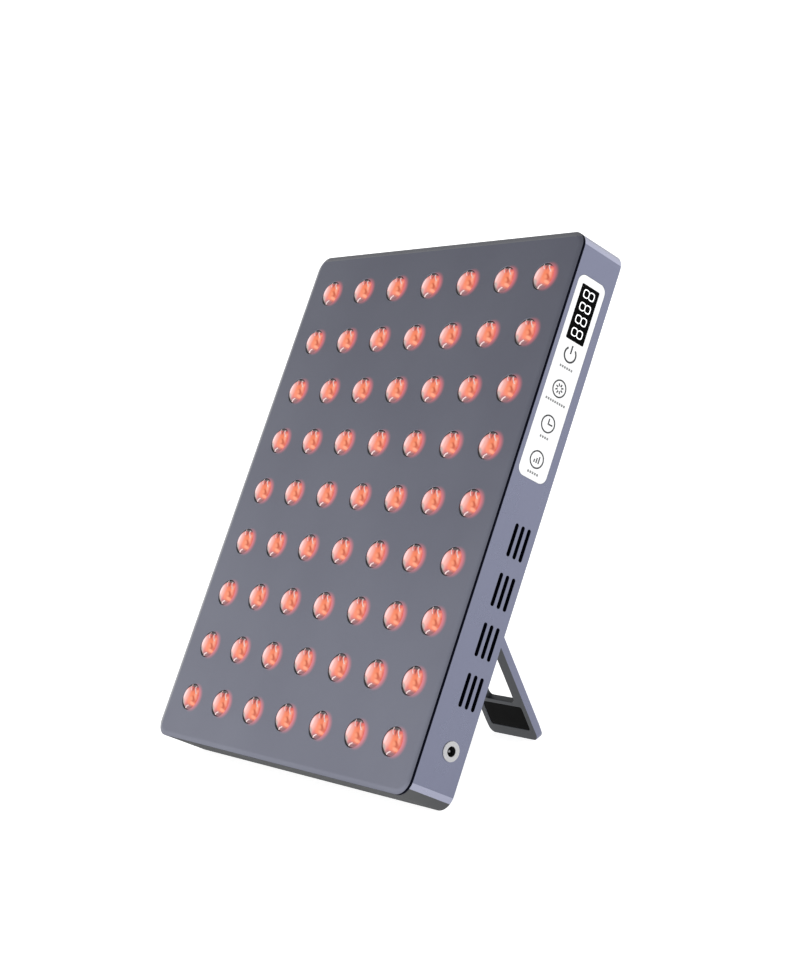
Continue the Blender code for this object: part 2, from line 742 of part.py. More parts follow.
def frame_ring():
    """The four walls with a lip inside at the front and at the rear."""
    lip = WALL + LIP_REACH
    front_lip_back = FRONT_LIP + LIP_THICKNESS
    rear_lip_front = REAR_LIP_BACK - LIP_THICKNESS
    return swept_ring([
        (FRAME_FRONT, 0),
        (PANEL_DEPTH, 0),
        (PANEL_DEPTH, WALL),
        (REAR_LIP_BACK, WALL),
        (REAR_LIP_BACK, lip),
        (rear_lip_front, lip),
        (rear_lip_front, WALL),
        (front_lip_back, WALL),
        (front_lip_back, lip),
        (FRONT_LIP, lip),
        (FRONT_LIP, WALL),
        (FRAME_FRONT, WALL),
    ])


def vent_cutters():
    """Slots right through both side walls."""
    reach = HALF_WIDTH + OVERRUN
    cutters = []
    for group in range(VENT_GROUPS):
        up = -VENT_FIRST_DROP - group * VENT_GROUP_PITCH
        for index in range(VENTS_IN_GROUP):
            depth = VENT_DEPTH + (index - (VENTS_IN_GROUP - 1) / 2) * VENT_PITCH
            outline = slot(VENT_LENGTH, VENT_WIDTH, VENT_END_STEPS, (depth, up))
            cutters.append(side_form([outline], -reach, reach))
    return cutters


def strip_seat():
    """The shallow seat of the control strip."""
    grown = 2 * CLEARANCE
    radius = OVERLAY_RADIUS + CLEARANCE
    centre = (STRIP_DEPTH, OVERLAY_MIDDLE)
    outline = rounded_rectangle(OVERLAY_LENGTH + grown, OVERLAY_WIDTH + grown, radius, CORNER_STEPS)
    upright = [(centre[0] - across, centre[1] + up) for up, across in outline]
    return side_form([upright], OVERLAY_SEAT, HALF_WIDTH + OVERRUN)


def strip_openings():
    """Openings through the wall behind the strip, for the window and the keys."""
    inner = WALL_INSIDE - OVERRUN / 2
    outer = HALF_WIDTH + OVERRUN
    grown = 2 * CLEARANCE
    window = rectangle(DISPLAY_WIDTH + grown, DISPLAY_LENGTH + grown, (STRIP_DEPTH, DISPLAY_MIDDLE))
    cutters = [side_form([window], inner, outer)]
    for up in key_places():
        start, end = (inner, STRIP_DEPTH, up), (outer, STRIP_DEPTH, up)
        cutters.append(rod(KEY_DIAMETER + grown, start, end, KEY_SIDES))
    return cutters


def cover_screw_drills(diameter, front, back):
    """Round cutters on the cover screws, between two depths."""
    return [
        rod(diameter, (across, front, up), (across, back, up), SCREW_SIDES)
        for across, up in cover_screw_places()
    ]


def side_frame():
    """The walls with everything that passes through them."""
    bosses = []
    for up in control_boss_places():
        start = (BOARD_FACE + CLEARANCE, STRIP_DEPTH, up)
        bosses.append(rod(CONTROL_BOSS_DIAMETER, start, (WALL_INSIDE + ROOT, STRIP_DEPTH, up), PIN_SIDES))
    frame = joined(frame_ring(), *bosses)
    frame = cut(frame, strip_seat())
    shank_hole = SCREW_SHANK_DIAMETER + 2 * CLEARANCE
    drills = []
    for up in control_boss_places():
        start = (BOARD_FACE, STRIP_DEPTH, up)
        drills.append(rod(shank_hole, start, (WALL_INSIDE - OVERRUN, STRIP_DEPTH, up), SCREW_SIDES))
    drills += cover_screw_drills(shank_hole, REAR_LIP_BACK - LIP_THICKNESS - OVERRUN, REAR_LIP_BACK + ROOT)
    jack_hole = JACK_BARREL_DIAMETER + 2 * CLEARANCE
    jack_start = JACK_PLACE - Vector((WALL + OVERRUN, 0, 0))
    jack_end = JACK_PLACE + Vector((OVERRUN, 0, 0))
    half_relief = POCKET_HALF_WIDTH + POCKET_SKIN + CLEARANCE
    pocket_relief = block(
        (-half_relief, POCKET_INSIDE - CLEARANCE, -HALF_HEIGHT + WALL - CLEARANCE),
        (half_relief, REAR_LIP_BACK + CLEARANCE, -HALF_HEIGHT + WALL + LIP_REACH + OVERRUN),
    )
    cutters = strip_openings() + vent_cutters() + drills
    cutters.append(rod(jack_hole, jack_start, jack_end, JACK_SIDES))
    cutters.append(pocket_relief)
    return cut(frame, *cutters)


# Rear cover

def grille_slots(centre):
    """Level slots inside a circle, shorter towards its top and bottom."""
    cutters = []
    for index in range(GRILLE_ROWS):
        rise = (index - (GRILLE_ROWS - 1) / 2) * GRILLE_PITCH
        length = 2 * math.sqrt(GRILLE_RADIUS ** 2 - rise ** 2)
        outline = slot(length, GRILLE_SLOT_WIDTH, VENT_END_STEPS)
        level = [(centre[0] - along, centre[1] + rise + across) for across, along in outline]
        cutters.append(front_form([level], COVER_INSIDE - OVERRUN / 2, COVER_BACK + OVERRUN))
    return cutters


def cover_bosses():
    """Posts and standoffs that stand forward from the cover, clear of each other."""
    top = COVER_INSIDE + ROOT
    bosses = [rod(POST_DIAMETER, (across, POST_FRONT, up), (across, top, up), PIN_SIDES)
              for across, up in post_places()]
    standoff_front = COVER_INSIDE - DRIVER_STANDOFF
    bosses += [rod(DRIVER_STANDOFF_DIAMETER, (across, standoff_front, up), (across, top, up), PIN_SIDES)
               for across, up in driver_hole_places()]
    return bosses


def scoop_places():
    """Centres of the two finger scoops beside the folded foot."""
    up = -HALF_HEIGHT + SCOOP_RISE
    return [(side * POCKET_HALF_WIDTH, up) for side in (-1, 1)]


def rear_cover():
    """The back wall with the stand's recess, posts, grilles and screw holes."""
    plate = front_form([casing_outline(WALL + CLEARANCE)], COVER_INSIDE, COVER_BACK)
    bottom = -HALF_HEIGHT + WALL + CLEARANCE
    half_outside = POCKET_HALF_WIDTH + POCKET_SKIN
    inner_face = COVER_INSIDE + ROOT
    tray = block((-half_outside, POCKET_INSIDE, bottom), (half_outside, inner_face, POCKET_TOP + POCKET_SKIN))
    cover = joined(plate, tray, *cover_bosses())

    scoop_floor = COVER_BACK - SCOOP_DEPTH
    scoop_diameter = 2 * (SCOOP_RADIUS + POCKET_SKIN)
    boss_reach = half_outside + HINGE_BOSS_REACH
    boss_half = HINGE_BOSS_HEIGHT / 2
    walls = [
        block(
            (-boss_reach, POCKET_INSIDE + CLEARANCE, HINGE_RISE - boss_half),
            (boss_reach, inner_face + ROOT, HINGE_RISE + boss_half),
        )
    ]
    for across, up in scoop_places():
        start = (across, scoop_floor - POCKET_SKIN, up)
        walls.append(rod(scoop_diameter, start, (across, inner_face + ROOT, up), JACK_SIDES))
    cover = joined(cover, *walls)

    pocket = block(
        (-POCKET_HALF_WIDTH, POCKET_FLOOR, bottom - OVERRUN),
        (POCKET_HALF_WIDTH, COVER_BACK + OVERRUN, POCKET_TOP),
    )
    cover = cut(cover, pocket)

    shank_hole = SCREW_SHANK_DIAMETER + 2 * CLEARANCE
    head_hole = SCREW_HEAD_DIAMETER + 2 * CLEARANCE
    head_floor = COVER_BACK - SCREW_HEAD_HEIGHT - 2 * STAND_SINK - CLEARANCE
    behind = COVER_BACK + OVERRUN
    cutters = cover_screw_drills(head_hole, head_floor, behind)
    cutters += [rod(head_hole, (across, head_floor, up), (across, behind, up), SCREW_SIDES)
                for across, up in fan_screw_places()]
    cutters += [rod(2 * SCOOP_RADIUS, (across, scoop_floor, up), (across, behind, up), JACK_SIDES)
                for across, up in scoop_places()]
    for centre in fan_places():
        cutters += grille_slots(centre)
    pin_reach = boss_reach + OVERRUN
    pin_hole = HINGE_PIN_DIAMETER + 2 * CLEARANCE
    cutters.append(
        rod(pin_hole, (-pin_reach, HINGE_DEPTH, HINGE_RISE), (pin_reach, HINGE_DEPTH, HINGE_RISE), PIN_SIDES)
    )
    post_hole_end = POST_FRONT + BOARD_SCREW_BITE + CLEARANCE
    cutters += [rod(shank_hole, (across, POST_FRONT - OVERRUN, up), (across, post_hole_end, up), SCREW_SIDES)
                for across, up in post_places()]
    standoff_hole_end = COVER_INSIDE - DRIVER_STANDOFF + SMALL_SCREW_BITE
    standoff_hole_start = COVER_INSIDE - DRIVER_STANDOFF - OVERRUN
    for across, up in driver_hole_places()[:2]:
        start, end = (across, standoff_hole_start, up), (across, standoff_hole_end, up)
        cutters.append(rod(shank_hole, start, end, SCREW_SIDES))
    cover = cut(cover, *cutters)

    drill_start, drill_end = COVER_INSIDE - OVERRUN, head_floor + ROOT
    drills = cover_screw_drills(shank_hole, drill_start, drill_end)
    drills += [rod(shank_hole, (across, drill_start, up), (across, drill_end, up), SCREW_SIDES)
               for across, up in fan_screw_places()]
    return cut(cover, *drills)


# Stand

def stand_side_outline():
    """The leg from the side, as (along, rear): its heel meets the recess floor when the leg is open."""
    half = STAND_THICKNESS / 2
    knuckle = arc((0, 0), half, -math.pi / 2, -math.pi / 2 - OPEN_ANGLE, HEEL_STEPS)
    last = knuckle[-1]
    slope = (STAND_HEEL + last[0]) / math.cos(OPEN_ANGLE)
    heel_front = (-STAND_HEEL, last[1] + slope * math.sin(OPEN_ANGLE))
    return [(STAND_LENGTH, half), (STAND_LENGTH, -half)] + knuckle + [heel_front, (-STAND_HEEL, half)]


def foot_corner_cutters():
    """What comes off the foot's two corners to make them round."""
    reach = STAND_THICKNESS / 2 + OVERRUN
    middle = (STAND_WIDTH / 2 - STAND_FOOT_RADIUS, STAND_FOOT_RADIUS - STAND_LENGTH)
    outside = STAND_WIDTH / 2 + OVERRUN
    below = -STAND_LENGTH - OVERRUN
    outline = arc(middle, STAND_FOOT_RADIUS, 0, -math.pi / 2, CORNER_STEPS)
    outline += [(middle[0], below), (outside, below), (outside, middle[1])]
    return [front_form([[(side * across, up) for across, up in outline]], -reach, reach) for side in (-1, 1)]


def kickstand():
    """The leg with its window, pad seat, pin bore and round foot corners."""
    leg = flat_form([stand_side_outline()], STAND_WIDTH, (0, 0, 0), ALONG_STAND)
    reach = STAND_THICKNESS / 2 + OVERRUN
    window_length = STAND_LENGTH - WINDOW_FOOT - WINDOW_HEAD
    window_middle = -WINDOW_HEAD - window_length / 2
    window = rounded_rectangle(WINDOW_WIDTH, window_length, WINDOW_RADIUS, 2, (0, window_middle))
    pad_middle = -STAND_LENGTH + PAD_FOOT + PAD_HEIGHT / 2
    grown = 2 * CLEARANCE
    seat_radius = PAD_RADIUS + CLEARANCE
    seat = rounded_rectangle(PAD_WIDTH + grown, PAD_HEIGHT + grown, seat_radius, 2, (0, pad_middle))
    seat_floor = -STAND_THICKNESS / 2 + STAND_SINK + PAD_THICKNESS + CLEARANCE
    pin_hole = HINGE_PIN_DIAMETER + 2 * CLEARANCE
    side = STAND_WIDTH / 2 + OVERRUN
    return cut(
        leg,
        front_form([window], -reach, reach),
        front_form([seat], -reach, seat_floor),
        rod(pin_hole, (-side, 0, 0), (side, 0, 0), PIN_SIDES),
        *foot_corner_cutters(),
    )


def stand_pad():
    """The dark pad in the leg's front face, on the hinge's frame."""
    pad_middle = -STAND_LENGTH + PAD_FOOT + PAD_HEIGHT / 2
    front = -STAND_THICKNESS / 2 + STAND_SINK
    outline = rounded_rectangle(PAD_WIDTH, PAD_HEIGHT, PAD_RADIUS, 2, (0, pad_middle))
    return front_form([outline], front, front + PAD_THICKNESS)


# Control strip

def control_overlay():
    """The white film with its window and key holes."""
    outline = rounded_rectangle(OVERLAY_LENGTH, OVERLAY_WIDTH, OVERLAY_RADIUS, CORNER_STEPS)
    upright = [(STRIP_DEPTH - across, OVERLAY_MIDDLE + up) for up, across in outline]
    grown = 2 * CLEARANCE
    window = rectangle(DISPLAY_WIDTH + grown, DISPLAY_LENGTH + grown, (STRIP_DEPTH, DISPLAY_MIDDLE))
    keys = [circle(KEY_DIAMETER / 2 + CLEARANCE, KEY_SIDES, (STRIP_DEPTH, up)) for up in key_places()]
    return side_form([upright, window] + keys, OVERLAY_FACE - OVERLAY_THICKNESS, OVERLAY_FACE)


def display_window():
    """The dark window, stepped so that its flange sits behind the wall."""
    step = WALL_INSIDE - CLEARANCE
    pane = rectangle(DISPLAY_WIDTH, DISPLAY_LENGTH, (STRIP_DEPTH, DISPLAY_MIDDLE))
    flange_width = DISPLAY_WIDTH + 2 * DISPLAY_FLANGE
    flange = rectangle(flange_width, DISPLAY_LENGTH + 2 * DISPLAY_FLANGE, (STRIP_DEPTH, DISPLAY_MIDDLE))
    front = side_form([pane], step - ROOT, OVERLAY_FACE)
    return joined(side_form([flange], step - DISPLAY_FLANGE_THICKNESS, step), front)


def display_module():
    """The four-digit display's body, standing on the control board behind the window."""
    low = BOARD_FACE + CLEARANCE
    middle = Vector((low + DISPLAY_BODY_HEIGHT / 2, STRIP_DEPTH, DISPLAY_MIDDLE))
    half = Vector((DISPLAY_BODY_HEIGHT, DISPLAY_BODY_WIDTH, DISPLAY_BODY_LENGTH)) / 2
    body = block(middle - half, middle + half)

    def ease_face(bm):
        face = [edge for edge in bm.edges if min(v.co.x for v in edge.verts) > low + DISPLAY_BODY_HEIGHT / 2]
        bmesh.ops.bevel(
            bm, geom=face, offset=DISPLAY_BODY_BEVEL, segments=2, affect="EDGES", profile=0.5, material=-1
        )

    return edited(body, ease_face)


def key():
    """A key about Z with its face at the top, a flange behind the wall and a stem into its switch."""
    face = KEY_DIAMETER / 2
    flange = face + KEY_FLANGE_REACH
    stem = KEY_STEM_DIAMETER / 2
    flange_top = KEY_FLANGE_FACE - OVERLAY_FACE
    flange_bottom = flange_top - KEY_FLANGE_THICKNESS
    stem_end = SWITCH_TOP - KEY_STEM_BITE - OVERLAY_FACE
    profile = [
        (0, 0),
        (face, 0),
        (face, flange_top),
        (flange, flange_top),
        (flange, flange_bottom),
        (stem, flange_bottom),
        (stem, stem_end),
        (0, stem_end),
    ]
    return turned_form(profile, KEY_SIDES)


def key_switch(up):
    """A push switch on the control board, bored for the key's stem."""
    half = SWITCH_WIDTH / 2
    foot = BOARD_FACE + CLEARANCE
    body = block((foot, STRIP_DEPTH - half, up - half), (SWITCH_TOP, STRIP_DEPTH + half, up + half))
    bore_floor = SWITCH_TOP - KEY_STEM_BITE - KEY_TRAVEL - CLEARANCE
    bore = KEY_STEM_DIAMETER + 2 * CLEARANCE
    mouth = SWITCH_TOP + OVERRUN
    return cut(body, rod(bore, (bore_floor, STRIP_DEPTH, up), (mouth, STRIP_DEPTH, up), PIN_SIDES))


def control_board():
    """The narrow board behind the strip, with its wire connector at the foot."""
    top = OVERLAY_TOP + CONTROL_BOARD_END
    bottom = OVERLAY_TOP - OVERLAY_LENGTH - CONTROL_BOARD_END
    outline = rectangle(CONTROL_BOARD_WIDTH, top - bottom, (STRIP_DEPTH, (top + bottom) / 2))
    holes = screw_hole_outlines([(STRIP_DEPTH, up) for up in control_boss_places()])
    board = side_form([outline] + holes, BOARD_FACE - BOARD_THICKNESS, BOARD_FACE)
    across = BOARD_FACE - BOARD_THICKNESS
    up = bottom + CONTROL_CONNECTOR_RISE
    low = (across - CONTROL_CONNECTOR.x, STRIP_DEPTH - CONTROL_CONNECTOR.y / 2, up)
    high = (across + ROOT, STRIP_DEPTH + CONTROL_CONNECTOR.y / 2, up + CONTROL_CONNECTOR.z)
    return joined(board, block(low, high))


# Socket

def dc_jack():
    """The socket about Z, its mouth at the top, with an annular well round the centre pin."""
    bore = JACK_BORE_DIAMETER / 2
    pin = JACK_PIN_DIAMETER / 2
    barrel = JACK_BARREL_DIAMETER / 2
    flange = JACK_FLANGE_DIAMETER / 2
    body = JACK_BODY_DIAMETER / 2
    flange_top = -WALL - CLEARANCE
    flange_bottom = flange_top - JACK_FLANGE_THICKNESS
    profile = [
        (0, -JACK_PIN_SINK),
        (pin, -JACK_PIN_SINK),
        (pin, -JACK_BORE_DEPTH),
        (bore, -JACK_BORE_DEPTH),
        (bore, 0),
        (barrel, 0),
        (barrel, flange_top),
        (flange, flange_top),
        (flange, flange_bottom),
        (body, flange_bottom),
        (body, -JACK_LENGTH),
        (0, -JACK_LENGTH),
    ]
    return turned_form(profile, JACK_SIDES)


def jack_ring():
    """The flat metal ring round the socket's mouth, about Z."""
    inner = JACK_BORE_DIAMETER / 2
    outer = JACK_RING_DIAMETER / 2
    bottom = JACK_RING_GAP
    top = bottom + JACK_RING_THICKNESS
    return turned_form([(inner, top), (outer, top), (outer, bottom), (inner, bottom)], FAN_SIDES, closed=True)


# Fans

def fan_frame(across, up):
    """A slim fan's square housing with struts to its hub plate at the rear."""
    centre = (across, up)
    half = FAN_SCREW_SPACING / 2
    outline = rounded_rectangle(FAN_SIZE, FAN_SIZE, FAN_CORNER, 1, centre)
    bore = circle(FAN_BORE_DIAMETER / 2, FAN_SIDES, centre)
    corners = [(across + side * half, up + end * half) for side in (-1, 1) for end in (-1, 1)]
    housing = front_form([outline, bore] + screw_hole_outlines(corners), FAN_FRONT, FAN_BACK)
    strut_front = FAN_BACK - FAN_STRUT_THICKNESS
    hub = rod(FAN_HUB_DIAMETER, (across, strut_front, up), (across, FAN_BACK - WELD, up), PIN_SIDES)
    reach = FAN_BORE_DIAMETER / 2 + FAN_STRUT_ROOT
    half_strut = FAN_STRUT_WIDTH / 2
    for index in range(FAN_STRUTS):
        strut = block((0, -half_strut, -FAN_STRUT_THICKNESS), (reach, half_strut, 0))
        around = Matrix.Rotation(2 * math.pi * index / FAN_STRUTS, 4, "Z")
        place = Matrix.Translation((across, FAN_BACK - 2 * WELD, up))
        hub = joined(hub, moved(strut, place @ TURNED_BACK @ around))
    frame = joined(housing, hub)
    shaft_hole = FAN_SHAFT_DIAMETER + 2 * CLEARANCE
    start, end = (across, strut_front - ROOT, up), (across, FAN_BACK + ROOT, up)
    return cut(frame, rod(shaft_hole, start, end, PIN_SIDES))


def blade(angle):
    """One twisted blade, lofted outwards from the hub, about Z."""
    hub = FAN_HUB_DIAMETER / 2 - BLADE_ROOT
    tip = FAN_BORE_DIAMETER / 2 - BLADE_TIP_GAP
    mesh = bpy.data.meshes.new("blade")
    bm = bmesh.new()
    sections = []
    for station in range(BLADE_STATIONS):
        share = station / (BLADE_STATIONS - 1)
        radius = hub + (tip - hub) * share
        chord = BLADE_ROOT_CHORD + (BLADE_TIP_CHORD - BLADE_ROOT_CHORD) * share
        pitch = BLADE_ROOT_PITCH + (BLADE_TIP_PITCH - BLADE_ROOT_PITCH) * share
        turn = Matrix.Rotation(pitch, 4, "X")
        corners = rectangle(chord, BLADE_THICKNESS)
        section = []
        for along, through in corners:
            offset = turn @ Vector((0, along, through))
            bend = math.atan2(offset.y, radius)
            section.append(bm.verts.new((radius * math.cos(bend), radius * math.sin(bend), offset.z)))
        sections.append(section)
    for section, following in zip(sections, sections[1:]):
        for index in range(len(section)):
            bm.faces.new((section[index - 1], section[index], following[index], following[index - 1]))
    bm.faces.new(sections[0])
    bm.faces.new(sections[-1])
    close_up(bm)
    bm.to_mesh(mesh)
    bm.free()
    return moved(mesh, Matrix.Rotation(angle, 4, "Z"))


def fan_rotor():
    """The hub, its blades and its shaft about Z, which points back when fitted."""
    strut_front = FAN_THICKNESS - FAN_STRUT_THICKNESS
    hub_low = 2 * CLEARANCE
    hub_high = strut_front - CLEARANCE
    shaft_high = FAN_THICKNESS - CLEARANCE
    hub = FAN_HUB_DIAMETER / 2
    shaft = FAN_SHAFT_DIAMETER / 2
    profile = [
        (0, shaft_high),
        (shaft, shaft_high),
        (shaft, hub_high),
        (hub, hub_high),
        (hub, hub_low),
        (0, hub_low),
    ]
    middle = (hub_low + hub_high) / 2
    blades = []
    for index in range(BLADE_COUNT):
        blades.append(moved(blade(2 * math.pi * index / BLADE_COUNT), Matrix.Translation((0, 0, middle))))
    return joined(turned_form(profile, FAN_SIDES), *blades)


# Driver board

def driver_board():
    """The power board with its coils, capacitors, chips and plugs on the front."""
    centre = tuple(DRIVER_PLACE)
    outline = rectangle(DRIVER_WIDTH, DRIVER_HEIGHT, centre)
    board = front_form([outline] + screw_hole_outlines(driver_hole_places()[:2]), DRIVER_FRONT, DRIVER_BACK)
    root = DRIVER_FRONT + ROOT
    parts = []

    def spot(shares):
        return DRIVER_PLACE.x + shares[0] * DRIVER_WIDTH, DRIVER_PLACE.y + shares[1] * DRIVER_HEIGHT

    for shares in COIL_PLACE_SHARES:
        across, up = spot(shares)
        start = (across, DRIVER_FRONT - DRIVER_COIL_HEIGHT, up)
        parts.append(rod(DRIVER_COIL_DIAMETER, start, (across, root, up), PIN_SIDES))
    for shares in CAPACITOR_PLACE_SHARES:
        across, up = spot(shares)
        start = (across, DRIVER_FRONT - DRIVER_CAPACITOR_HEIGHT, up)
        parts.append(rod(DRIVER_CAPACITOR_DIAMETER, start, (across, root, up), SCREW_SIDES))
    for shares in CHIP_PLACE_SHARES:
        across, up = spot(shares)
        half = DRIVER_CHIP / 2
        low = (across - half.x, DRIVER_FRONT - DRIVER_CHIP.z, up - half.y)
        parts.append(block(low, (across + half.x, root, up + half.y)))
    for across, up in driver_plug_places():
        half = DRIVER_PLUG / 2
        low = (across - half.x, DRIVER_FRONT - DRIVER_PLUG.z, up - half.y)
        parts.append(block(low, (across + half.x, root, up + half.y)))
    return joined(board, *parts)


def driver_plug_places():
    """Centres of the plugs for power, controls and the two fans."""
    right = DRIVER_PLACE.x + DRIVER_WIDTH / 2 - DRIVER_PLUG.x / 2
    left = DRIVER_PLACE.x - DRIVER_WIDTH / 2 + DRIVER_PLUG.x / 2 + DRIVER_STANDOFF_DIAMETER
    top = DRIVER_PLACE.y + DRIVER_HEIGHT / 2 - DRIVER_PLUG.y / 2
    bottom = DRIVER_PLACE.y - DRIVER_HEIGHT / 2 + DRIVER_PLUG.y / 2
    below = top - DRIVER_STANDOFF_DIAMETER - DRIVER_PLUG.y
    return [(right, bottom + DRIVER_PLUG.y), (right, below), (left + DRIVER_PLUG_PITCH, top), (left, top)]


# Screws and wires

def screw(bite):
    """A flat-headed screw about Z, its head at the top and its shank down to a depth below the head."""
    head = SCREW_HEAD_DIAMETER / 2
    shank = SCREW_SHANK_DIAMETER / 2
    profile = [
        (0, SCREW_HEAD_HEIGHT),
        (head, SCREW_HEAD_HEIGHT),
        (head, 0),
        (shank, 0),
        (shank, -bite),
        (0, -bite),
    ]
    return turned_form(profile, SCREW_SIDES)


def lead_route(start, end, shares):
    """Points between two ends, each given as shares of the way (across, back, up)."""
    way = [to - come for come, to in zip(start, end)]
    bends = [[come + part * share for come, part, share in zip(start, way, row)] for row in shares]
    return [start] + bends + [end]


def wire(points, diameter):
    """A wire on a smooth line that starts and ends at its first and last points."""
    curve = bpy.data.curves.new("wire", "CURVE")
    curve.dimensions = "3D"
    curve.bevel_depth = diameter / 2
    curve.bevel_resolution = 1
    curve.use_fill_caps = True
    spline = curve.splines.new("NURBS")
    spline.points.add(len(points) - 1)
    for point, place in zip(spline.points, points):
        point.co = (*place, 1)
    spline.use_endpoint_u = True
    spline.order_u = 3
    spline.resolution_u = WIRE_RESOLUTION
    return mesh_of(bpy.data.objects.new("wire", curve))


# Assembly

PANEL = empty("panel", panel_placement())
HINGE_PLACE = Matrix.Translation((0, HINGE_DEPTH, HINGE_RISE))
HINGE = empty("hinge", HINGE_PLACE @ Matrix.Rotation(OPEN_ANGLE, 4, "X"), PANEL)


def fit_casing():
    """Front plate, gasket, walls and rear cover."""
    piece("front_plate", front_plate(), PLATE_GREY, PANEL)
    piece("front_gasket", front_gasket(), FOAM, PANEL)
    piece("side_frame", side_frame(), CASING_LILAC, PANEL)
    piece("rear_cover", rear_cover(), COVER_GREY, PANEL)


def fit_lamps():
    """Lamp board and heat sink with their screws."""
    piece("led_board", led_board(), BOARD_WHITE, PANEL)
    piece("heat_sink", heat_sink(), ALUMINIUM, PANEL)
    head_back = BOARD_FRONT - CLEARANCE
    bite = POST_FRONT + BOARD_SCREW_BITE - head_back
    for number, (across, up) in enumerate(post_places(), 1):
        place = Matrix.Translation((across, head_back, up)) @ TURNED_FRONT
        piece(f"led_board_screw_{number}", screw(bite), STEEL, PANEL, place)


def fit_stand():
    """The leg and its pad on the hinge, and the pin in the cover."""
    piece("kickstand", kickstand(), CASING_LILAC, HINGE)
    piece("stand_pad", stand_pad(), RUBBER, HINGE)
    reach = POCKET_HALF_WIDTH + POCKET_SKIN + HINGE_BOSS_REACH - CLEARANCE
    place = Matrix.Translation((0, HINGE_DEPTH, HINGE_RISE))
    piece("hinge_pin", rod(HINGE_PIN_DIAMETER, (-reach, 0, 0), (reach, 0, 0), PIN_SIDES), STEEL, PANEL, place)


def fit_controls():
    """Film, window, display, keys and their switches and board."""
    piece("control_overlay", control_overlay(), FILM_WHITE, PANEL)
    piece("display_window", display_window(), WINDOW_BLACK, PANEL)
    piece("display_module", display_module(), PLASTIC_BLACK, PANEL)
    piece("control_board", control_board(), BOARD_GREEN, PANEL)
    for name, up in zip(KEY_SPREAD_SHARES, key_places()):
        place = Matrix.Translation((OVERLAY_FACE, STRIP_DEPTH, up)) @ TURNED_RIGHT
        piece(f"{name}_key", key(), FILM_WHITE, PANEL, place)
        piece(f"{name}_switch", key_switch(up), PLASTIC_BLACK, PANEL)
    head_face = BOARD_FACE - BOARD_THICKNESS - CLEARANCE
    for number, up in enumerate(control_boss_places(), 1):
        place = Matrix.Translation((head_face, STRIP_DEPTH, up)) @ TURNED_LEFT
        bite = BOARD_THICKNESS + CLEARANCE + SMALL_SCREW_BITE
        piece(f"control_board_screw_{number}", screw(bite), STEEL, PANEL, place)


def fit_socket():
    """Socket and ring on the right wall."""
    place = Matrix.Translation(JACK_PLACE) @ TURNED_RIGHT
    piece("dc_jack", dc_jack(), PLASTIC_BLACK, PANEL, place)
    piece("jack_ring", jack_ring(), RING_SILVER, PANEL, place)


def fit_fans():
    """Both fans behind the grilles."""
    for side, (across, up) in zip(("left", "right"), fan_places()):
        piece(f"fan_frame_{side}", fan_frame(across, up), PLASTIC_BLACK, PANEL)
        place = Matrix.Translation((across, FAN_FRONT, up)) @ TURNED_BACK
        piece(f"fan_rotor_{side}", fan_rotor(), PLASTIC_BLACK, PANEL, place)
    head_front = COVER_BACK - SCREW_HEAD_HEIGHT - STAND_SINK
    for number, (across, up) in enumerate(fan_screw_places(), 1):
        place = Matrix.Translation((across, head_front, up)) @ TURNED_BACK
        piece(f"fan_screw_{number}", screw(FAN_SCREW_BITE), STEEL, PANEL, place)


def fit_driver():
    """Driver board with its two screws."""
    piece("driver_board", driver_board(), BOARD_GREEN, PANEL)
    for number, (across, up) in enumerate(driver_hole_places()[:2], 1):
        place = Matrix.Translation((across, DRIVER_FRONT - CLEARANCE, up)) @ TURNED_FRONT
        bite = BOARD_THICKNESS + 2 * CLEARANCE + DRIVER_STANDOFF
        piece(f"driver_board_screw_{number}", screw(bite), STEEL, PANEL, place)


def fit_wires():
    """Wires from the socket, the control board and the fans to the driver board's plugs."""
    power_plug, control_plug, right_fan_plug, left_fan_plug = driver_plug_places()
    plug_depth = DRIVER_FRONT - DRIVER_PLUG.z / 2
    plug_side = DRIVER_PLUG.x / 2 + CLEARANCE
    plug_top = DRIVER_PLUG.y / 2 + CLEARANCE

    socket_end = JACK_PLACE - Vector((JACK_LENGTH + CLEARANCE, 0, 0))
    end = (power_plug[0] + plug_side, plug_depth, power_plug[1])
    route = lead_route(socket_end, end, POWER_ROUTE_SHARES)
    piece("power_lead", wire(route, POWER_WIRE_DIAMETER), WIRE_RED, PANEL)

    connector_foot = OVERLAY_TOP - OVERLAY_LENGTH - CONTROL_BOARD_END + CONTROL_CONNECTOR_RISE
    connector_face = BOARD_FACE - BOARD_THICKNESS - CONTROL_CONNECTOR.x / 2
    start = (connector_face, STRIP_DEPTH, connector_foot - CLEARANCE)
    end = (control_plug[0] + plug_side, plug_depth, control_plug[1])
    route = lead_route(start, end, CONTROL_ROUTE_SHARES)
    piece("control_lead", wire(route, SIGNAL_WIRE_DIAMETER), WIRE_GREY, PANEL)

    left, right = fan_places()
    fan_depth = (FAN_FRONT + FAN_BACK) / 2 - SIGNAL_WIRE_DIAMETER
    start = (left[0] + FAN_SIZE / 2 + CLEARANCE, fan_depth, left[1] - FAN_SIZE / 2 + FAN_WIRE_INSET)
    end = (left_fan_plug[0], plug_depth, left_fan_plug[1] + plug_top)
    route = lead_route(start, end, LEFT_FAN_ROUTE_SHARES)
    piece("fan_lead_left", wire(route, SIGNAL_WIRE_DIAMETER), WIRE_RED, PANEL)

    start = (right[0] - FAN_SIZE / 2 + FAN_WIRE_INSET, fan_depth, right[1] - FAN_SIZE / 2 - CLEARANCE)
    end = (right_fan_plug[0], plug_depth, right_fan_plug[1] + plug_top)
    route = lead_route(start, end, RIGHT_FAN_ROUTE_SHARES)
    piece("fan_lead_right", wire(route, SIGNAL_WIRE_DIAMETER), WIRE_RED, PANEL)


